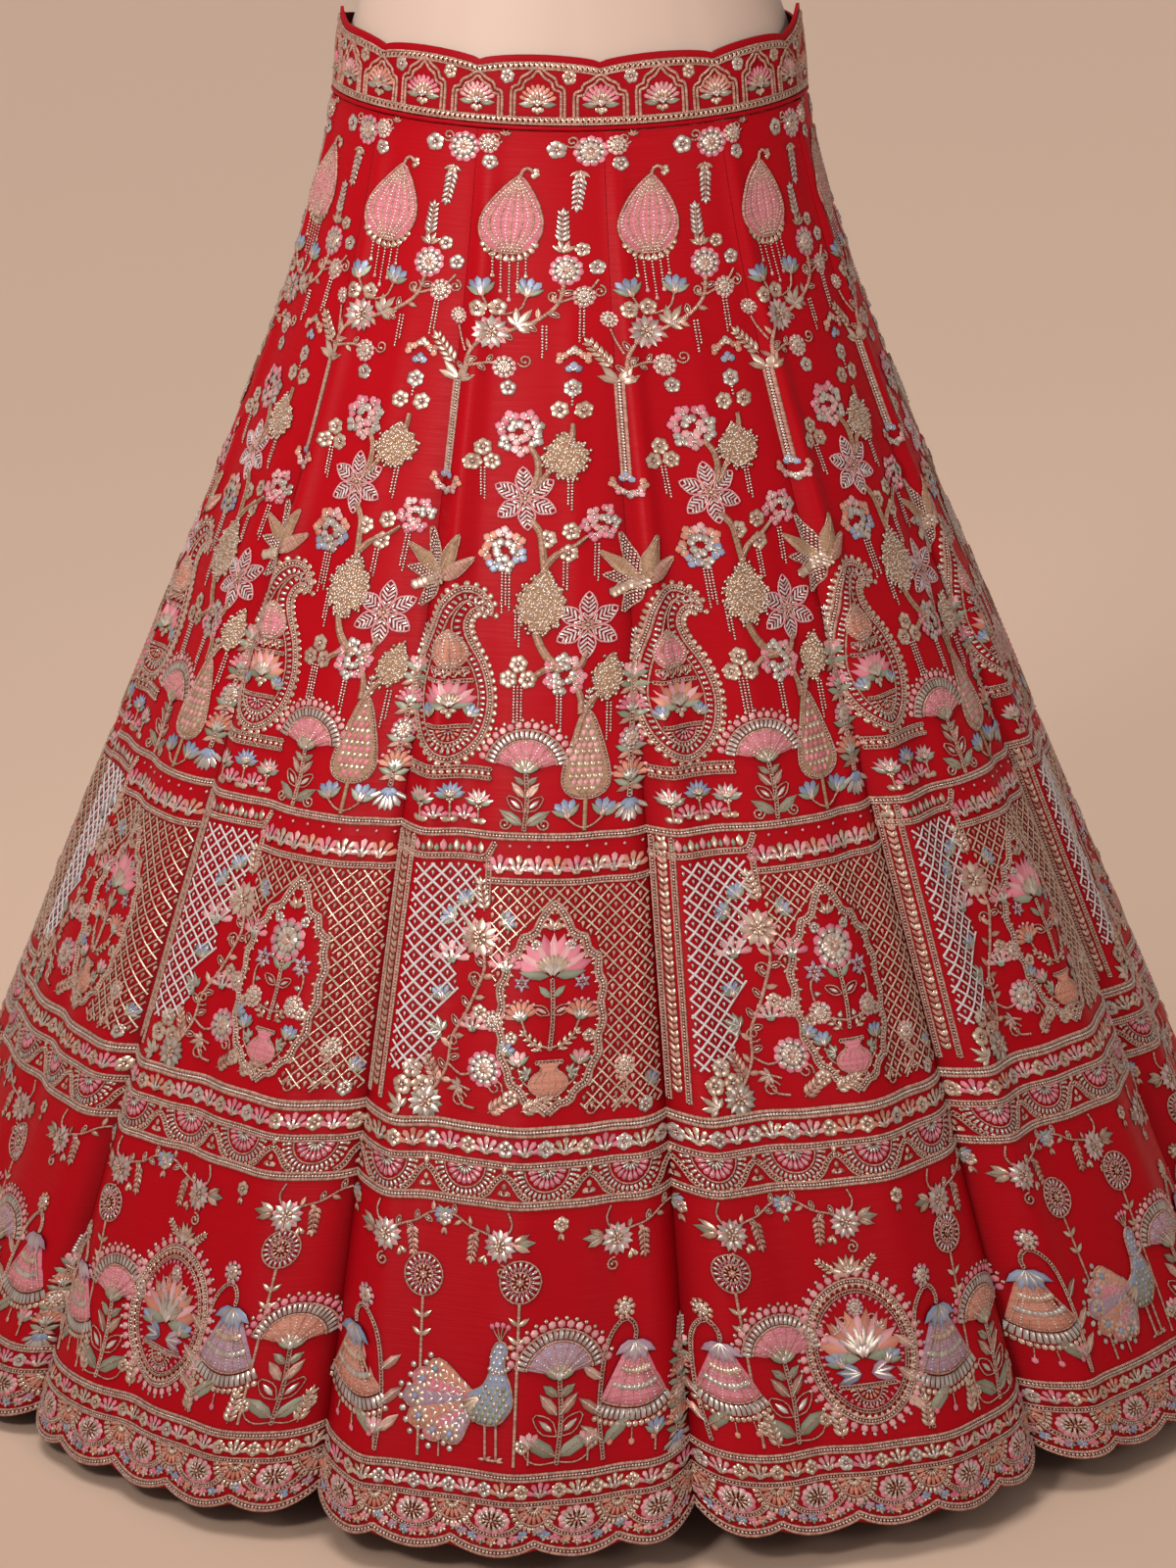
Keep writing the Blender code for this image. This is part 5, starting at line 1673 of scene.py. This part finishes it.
def sewTowers(root, plan):
    # the tall paisley with a palm spray, a cypress and stalks beside it
    half = widthAt(450.0) / 2
    palmSpray(root.spot(-62, -330), 36)
    sewPaisley(root.spot(-half + 34, -507), plan)
    stalks(root, ((1.5, (), (46, 506), (52, 504), (58, 499)), (1.5, (), (46, 506), (40, 504), (34, 499))))
    sewRows(root, (
        (carnation, 4, 508, 0, 76, "pink", "blush", False, 0.40), (scroll, 13, 503, 0, 4.6),
        (scroll, -5, 503, 0, 4.6, -1),
        (cypress, 46, 484, 0, 32, 62, ("pink", "sequin") if plan else ("sequin", "blush"), 24),
        (tulip, 58, 498, -14, 13), (tulip, 34, 498, 14, 13), (tallStalk, half - 7, 492, 0, 21, 128, "pink"),
    ))


fieldRows = (
    (lily, -25, 585, -8, 15, "blush", "sequin"), (tuft, -46, 604, 0, 16, "blush", "mint"),
    (tuft, -5, 606, 0, 15, "pink", "mint"), (tuft, -28, 650, 0, 14, "blush", "mint"),
    (tulip, -34, 563, 30, 11), (tulip, -44, 574, 60, 11), (tulip, -52, 632, 10, 11),
    (tulip, -9, 574, -60, 11), (sprig, -22, 566, 10, 22, 5, 8.0, "sequin"), (rosette, -18, 676, 0, 12.4),
    (rosette, -13, 642, 0, 7.4, "blush"), (sequinFlower, -23, 637, 0, 6.0, "sequin", 6),
    (scroll, -30, 697, 200, 6.4), (scroll, -38, 664, -40, 6.2, -1), (scroll, -32, 616, 200, 5.6, -1),
    (scroll, -4, 690, 160, 6.0), (tulip, -5, 664, -34, 10), (sequinFlower, 2, 694, 0, 6.4, "sequin", 6),
    (sprig, -14, 706, -52, 22, 5, 8.4), (sprig, 10, 703, -66, 20, 5, 8.0, "sequin"),
    (sprig, -54, 690, 24, 20, 5, 8.0), (leafCluster, -52, 654, 60, 14, "mint"),
    (leafCluster, -36, 690, 110, 11), (leafCluster, -80, 708, 50, 14, "sequin"),
    (sequinFlower, -72, 680, 0, 7.4), (sequinFlower, -79, 692, 0, 7.4), (sequinFlower, -65, 692, 0, 7.4),
    (lily, -62, 704, -20, 13, "mint", "silverSequin"), (rosette, 82, 676, 0, 7.6, "blush"),
    (tulip, 100, 692, -40, 10), (scroll, 65, 702, 200, 5.6),
    (sequinFlower, 99, 705, 0, 6.0, "silverSequin", 6),
)
fieldStalks = (
    (2.4, (8.0, 9.5), (-72, 708), (-58, 696), (-47, 678), (-44, 658), (-34, 640), (-26, 622), (-20, 604),
        (-24, 590)),
    (1.5, (), (-24, 590), (-33, 578), (-40, 570)), (1.8, (), (-46, 676), (-36, 682), (-28, 680)),
    (1.8, (), (-28, 692), (-38, 690), (-34, 702), (-24, 704)),
    (2.0, (5.6, 8.0), (75, 708), (85, 694), (82, 680)),
)


def sewField(root, plan):
    # pale and gold lattices with the medallion; x in mm from the kali's middle, y from the waist seam
    def half(down):
        return widthAt(float(down)) / 2

    seamToSeam(root, layout["fieldTop"], 6.0)
    root.beadLines([(-half(529), -529), (-22, -529), (-16, -517)], 5.0)
    for k, x in enumerate(np.arange(-half(520) + 6, -24, 4.6)):
        size = (9.0, 5.0) if k % 2 else (6.0, 3.4)
        root.petal(*size, 1.2, "leaf", ("mint", "sequin", "mint", "blush")[k % 4], at=(x, -526))
    for k, x in enumerate(np.arange(-12, half(533) - 6, 13.4)):
        tuft(root.spot(x, -537.5), 13.4, ("pink", "sequin", "blush", "peach")[k % 4])
        root.beads([(x + 6.7, -519)], 2.6, 1.3, "blush")
    root.beadLines([(-19, -544), (half(544), -544)], 5.2)
    root.beadLines([(-20, -530), (-20, -560)], 4.6)
    for off in (3.0, 16.0):
        root.beadLines([(-half(516) + off, -516), (-half(706) + off, -706)], 4.2, step=6)
    for k, down in enumerate(np.arange(520, 704, 5.0)):
        root.spray((62, 118), 6.2, 3.2, 1.1, "leaf", ("sequin", "zari")[k % 2], at=(9.5 - half(down), -down))
    pale = [(-half(534) + 21, -534), (-25, -534), (-25, -560), (-30, -572), (-34, -592), (-44, -604),
        (-40, -622), (-58, -640), (-52, -654), (-64, -682), (-half(682) + 21, -682)]
    latticeIn(root, pale, 8.4, 1.8, "white", "silverSequin", 3.6)
    centre, wide, tall = (28, -632), 70, 146
    hole = medallionRoom * (wide, tall) + centre
    gold = [(-17, -547), (half(547) - 2, -547), (half(706) - 3, -706), (60, -706), (46, -700), (14, -626),
        (-6, -640), (-12, -620), (-17, -600)]
    latticeIn(root, gold, 8.2, 1.5, "sequin", "zari", 4.8, hole)
    medallion(root.spot(*centre), wide, tall, plan)
    stalks(root, fieldStalks)
    sewRows(root, fieldRows)


def sewBorder(root):
    # three lines, a row of small flowers, then half flowers between peaks
    width = widthAt(layout["lineTwo"])
    for line, wide in (("topLine", 7.6), ("lineTwo", 5.6), ("lineThree", 6.4)):
        seamToSeam(root, layout[line], wide)
    bandFlowers(root, layout["rowOne"], layout["rowFlowers"], width)
    pitch = width / layout["fans"]
    for k in range(layout["fans"]):
        below = root.spot((k + 0.5 - layout["fans"] / 2) * pitch, -layout["lineTwo"] - 2.5)
        fanFlower(below, layout["fanRadius"], "pink", "silverSequin")
        peak = root.spot((k - layout["fans"] / 2) * pitch, -layout["lineThree"] + 3)
        for s in (-1, 1):
            line = [(s * pitch * 0.30, 0.5), (s * pitch * 0.19, 5), (s * pitch * 0.10, 13), (s * 0.8, 17)]
            peak.beadLines(curve(line, 4), 4.6, step=4)
        peak.petal(7.0, 5.0, 1.3, "seed", "sequin", at=(0, 17))
        peak.petals(ring(3, 0.6, 90) + (0, 6.6, 0), 5.0, 3.8, 1.1, "round", "zari")
        peak.spray((30, 150), 4.6, 2.0, 1.0, "leaf", "bead", at=(0, 3.2))


ground = layout["ground"]
rowPlants = (
    (
        (sunDisc, -58, 822, 0, 15, 123), (sunDisc, 14, 820, 0, 15, 125),
        (bellFlower, -108, ground, 0, 106, "peach", "pink", "blue", True),
        (peacock, -16, ground, 0, 102, "blue", "mauve"), (carnation, 44, ground, 0, 106, "mauve"),
        (bellFlower, 94, ground, 0, 104, "pink", "peach", "mauve"),
        (tallStalk, 134, ground, 0, 17, 82, "peach"),
    ),
    (
        (sunDisc, -93, 823, 0, 14, 122), (sunDisc, 84, 820, 0, 14, 125),
        (bellFlower, -114, ground, 0, 96, "pink", "peach", "mauve"), (carnation, -66, ground, 0, 104),
        (bloomDisc, -6, 886, 0, 78, 98), (bellFlower, 55, ground, 0, 108, "mauve", "pink"),
        (carnation, 108, ground, 0, 100, "peach", "pink"),
    ),
)


def sewProcession(root, plan):
    # garlands above, plants, discs and birds in a row above the hem
    for k, x in enumerate(layout["garlands"]):
        here = root.spot(x * widthAt(790.0), -layout["garlandLine"])
        garland(here, layout["garlandSize"], k % 2 == 1)
    for x in (-0.48, -0.175, 0.165):
        here = root.spot(x * widthAt(785.0), -782)
        sequinFlower(here, 5.6, "sequin", 6)
        here.spray((250, 290), 6.0, 2.8, 1.0, "leaf", "zari", at=(0, -6))
    sewRows(root, rowPlants[plan])
    for x in (-90, -40, 26, 68, 118):
        if plan:
            sprig(root.spot(x + 8, -ground, -x * 0.1), 22, 5, 8.0, "sequin")
        else:
            tulip(root.spot(x - 2, -ground + 12), 11, random.choice(("blue", "blush")))
            root.cord([(x - 2, -ground + 1), (x - 2, -ground + 11)], 1.5, 1.0)


hemTrefoils = (
    (-0.46, -7.6, "pink"), (-0.36, -10.8, "blue"), (-0.25, -13.0, "blush"), (-0.12, -14.4, "mauve"),
    (0.01, -14.8, "blue"), (0.14, -14.3, "pink"), (0.27, -12.8, "peach"), (0.38, -10.0, "blush"),
)


def sewHem(root):
    # two lines with a row of flowers, a bloom and a fan for each scallop, and the beaded edge
    pitch = widthAt(layout["hemMiddle"]) / skirt["scallops"]
    seamToSeam(root, layout["hemLine"], 6.0)
    bandFlowers(root, layout["hemRow"], layout["hemFlowers"], widthAt(layout["hemRow"]), 0.86)
    seamToSeam(root, layout["hemLineTwo"], 4.6)
    for k in range(skirt["scallops"]):
        fan = root.spot((k - skirt["scallops"] / 2) * pitch, -layout["hemLineTwo"] - 2.0)
        fan.petals(ring(9, 4.6, 184, 172), 8.0, 3.0, 1.2, "round", "peach")
        fan.petals(ring(9, 1.2, 184, 172), 4.6, 1.7, 1.1, "seed", "sequin", 0.6)
        fan.cord(circle(12.6, 10, 1, 184, 172), 1.5, 1.1, "zari", 5)
        fan.petals(ring(15, 13.4, 186, 168), 4.0, 2.3, 1.1, "rod", "sequin")
        bloom = root.spot((k + 0.5 - skirt["scallops"] / 2) * pitch, -layout["hemBlooms"])
        for x, y, turn in ring(13, 1.0):
            finish = "pink" if y < -0.3 else "blush"
            bloom.spray((turn,), 5.2, 5.4, 1.2, "round", finish, at=(x * 8.2, y * 4.8))
            bloom.spray((turn,), 4.2, 3.6, 1.2, "round", "silverSequin", 0.5, at=(x * 7.0, y * 4.0))
        bloom.petals(ring(11, 1.0) * (3.6, 2.0, 1), 4.4, 2.4, 1.1, "seed", "sequin", 1.0)
        bloom.petals(ring(7, 1.0) * (1.2, 0.7, 1), 3.2, 2.2, 1.0, "seed", "zari", 1.6)
        bloom.bead(2.6, 1.4, "bead", 2.0)
        swag = np.array([(-0.40, 6.0), (-0.27, -5.5), (0, -10.0), (0.27, -5.5), (0.40, 6.0)])
        bloom.beadLines(curve(swag * (pitch, 1), 5), 4.6, step=4)
        for j, (x, y, _) in enumerate(hemTrefoils):
            tiny = bloom.spot(x * pitch, y, random.uniform(-40, 40))
            finish = hemTrefoils[(j + k) % len(hemTrefoils)][2]
            tiny.petals([(0, 0.4, 25), (0, 0.8, 90), (0, 0.4, 155)], 4.4, 3.8, 1.1, "round", finish)
            tiny.spray((215, 325), 3.6, 2.0, 0.9, "leaf", "sequin" if j % 3 else "mint", 0.4)
            tiny.beads([(0, 0.6)], 1.8, 1.1, "bead", 1.1)
    share = np.linspace(0, 1, 131)
    for k, inset in enumerate(layout["edgeLines"]):
        down = 1000 + scallopHang(share) * 1000 - inset
        edge = np.column_stack(((share - 0.5) * widthAt(down), -down))
        if k == 1:
            root.beadLine(edge, 2.7, 2.3, 1.2, "bead", 0.6)
        else:
            root.cord(edge, 2.1, 1.2, "zari", 3.2)


def layOn(sewing, name, place):
    # the flat work in millimetres, laid on the cloth by place(x, y, height)
    points, faces = np.concatenate(sewing.points), np.concatenate(sewing.faces)
    a, b, c = points[faces[:, 0], :2], points[faces[:, 1], :2], points[faces[:, 2], :2]
    back = (b[:, 0] - a[:, 0]) * (c[:, 1] - a[:, 1]) < (b[:, 1] - a[:, 1]) * (c[:, 0] - a[:, 0])
    turned = np.where((faces[:, 3] < 0)[:, None], faces[:, (1, 0, 2, 3)], faces[:, ::-1])
    faces = np.where(back[:, None], turned, faces)
    uv, slots = np.concatenate(sewing.uvs), np.concatenate(sewing.slots)
    piece = buildMesh(name, place(*points.T), faces, threads, "thread", uv, slots)
    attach(piece, "root")
    return piece


def sewKali(number):
    sewing = Sewing()
    root = Spot(sewing)
    plan = number % 2
    sewTop(root)
    sewTree(root)
    sewTowers(root, plan)
    sewField(root, plan)
    sewBorder(root)
    sewProcession(root, plan)
    sewHem(root)

    def onKali(x, y, height):
        angle = skirt["firstSeam"] + (number - 0.5 + x / widthAt(-y)) * kaliAngle
        raised = ((height + layout["lift"]) / 1000)[:, None]
        return skirtPoint(angle, -y / 1000) + skirtNormal(angle, -y / 1000) * raised

    piece = layOn(sewing, f"kaliEmbroidery_{number:02d}", onKali)
    triangles = sum(len(face.vertices) - 2 for face in piece.data.polygons)
    print("embroidery", number, len(piece.data.vertices), triangles)


for number in range(1, skirt["kalis"] + 1):
    sewKali(number)


# the waistband's embroidery

turnTable = np.linspace(-math.pi, math.pi, 1441)
seamPoints = waistSeam(turnTable)
girth = np.append(0, np.cumsum(np.hypot(*np.diff(seamPoints[:, :2], axis=0).T))) * 1000
girth -= np.interp(0, turnTable, girth)


def sewArch(here, width, height):
    half = [(0.46, 0), (0.46, 0.48), (0.43, 0.60), (0.33, 0.64), (0.30, 0.77), (0.17, 0.86), (0, 1.0)]
    path = np.array([(-x, y) for x, y in half] + half[-2::-1]) * (width, height)
    for inset in (0.0, 2.7):
        shape = path.copy()
        shape[:, 0] -= np.sign(shape[:, 0]) * inset
        shape[:, 1] -= np.where(np.abs(path[:, 0]) < width * 0.44, inset, 0)
        here.cord(curve(shape, 4), 2.2, 1.3, "zari", 2.6)


def bandLotus(here, size, tips):
    # small lotus: spaced pointed petals, gold heart, mint leaves and a foot of sequins
    here.rings(size, (9, 0.30, 22, 136, 0.34, 0.15, 1.1, "seed", tips, 0.2),
        (8, 0.26, 22, 136, 0.26, 0.12, 1.1, "seed", "blush", 0.3),
        (7, 0.12, 22, 136, 0.30, 0.15, 1.1, "seed", "sequin", 0.5),
        (5, 0.04, 22, 136, 0.26, 0.13, 1.1, "seed", "zari", 1.0))
    for x, turn in ((0.12, 4), (-0.12, 176)):
        here.spray((turn,), size * 0.50, size * 0.20, 1.1, "leaf", "mint", 0.3, at=(size * x, -size * 0.02))
        rib = here.spot(size * x, size * 0.03)
        rib.spray((turn,), size * 0.30, size * 0.09, 0.8, "seed", "silverSequin", 1.2)
    here.rings(size, (3, 0, 40, 100, 0.20, 0.13, 0.9, "round", "silverSequin", 1.4))
    foot = [(0, -size * 0.12, 200), (0, -size * 0.12, 340), (0, -size * 0.10, 270)]
    here.petals(foot, size * 0.22, size * 0.17, 1.0, "round", "sequin", 0.3)
    here.bead(size * 0.12, 1.0, "bead", 2.0)


def sewBand():
    sewing = Sewing()
    root = Spot(sewing)
    xs = np.linspace(girth[0] + 0.4, girth[-1] - 0.4, 500)
    top = bandTop(np.interp(xs, girth, turnTable)) * 1000
    for line in (np.full(len(xs), 3.2), top - 7.6):
        for off in (-2.2, 2.2):
            root.cord(np.column_stack((xs, line + off)), 1.5, 1.2)
        at = np.arange(xs[0] + 1, xs[-1] - 3, 3.9)
        for side, lean in ((-1.7, 50), (1.7, -50)):
            rods = np.column_stack((at, np.interp(at, xs, line) + side, np.full(len(at), lean)))
            root.petals(rods, 4.4, 1.15, 1.0, "rod", "sequin", 0.5)
    step = math.pi / band["arches"]
    for k in range(band["arches"] * 2):
        turn = (k * step + math.pi * 2) % (2 * math.pi) - math.pi
        x, height = float(np.interp(turn, turnTable, girth)), float(bandTop(np.array(turn))) * 1000
        if k % 2:
            away = skirt["waistHalfWidth"] * math.cos(turn), skirt["waistHalfDepth"] * math.sin(turn)
            pitch = 2000 * step * math.hypot(*away)
            sewArch(root.spot(x, 5.4), pitch * 0.93, height - 13.6)
            bandLotus(root.spot(x, 14.6), min(pitch, 36) * 0.62, ("blush", "pink", "peach")[k % 3])
        else:
            here = root.spot(x, height - 14.5, random.uniform(-20, 20))
            sequinFlower(here, 5.4, "silverSequin" if k % 4 else "sequin", 6 if k % 3 else 5)

    def onBand(x, y, height):
        return bandPoint(np.interp(x, girth, turnTable), y / 1000, (height + 0.2) / 1000)

    layOn(sewing, "bandEmbroidery", onBand)


sewBand()
print("waistband embroidered")
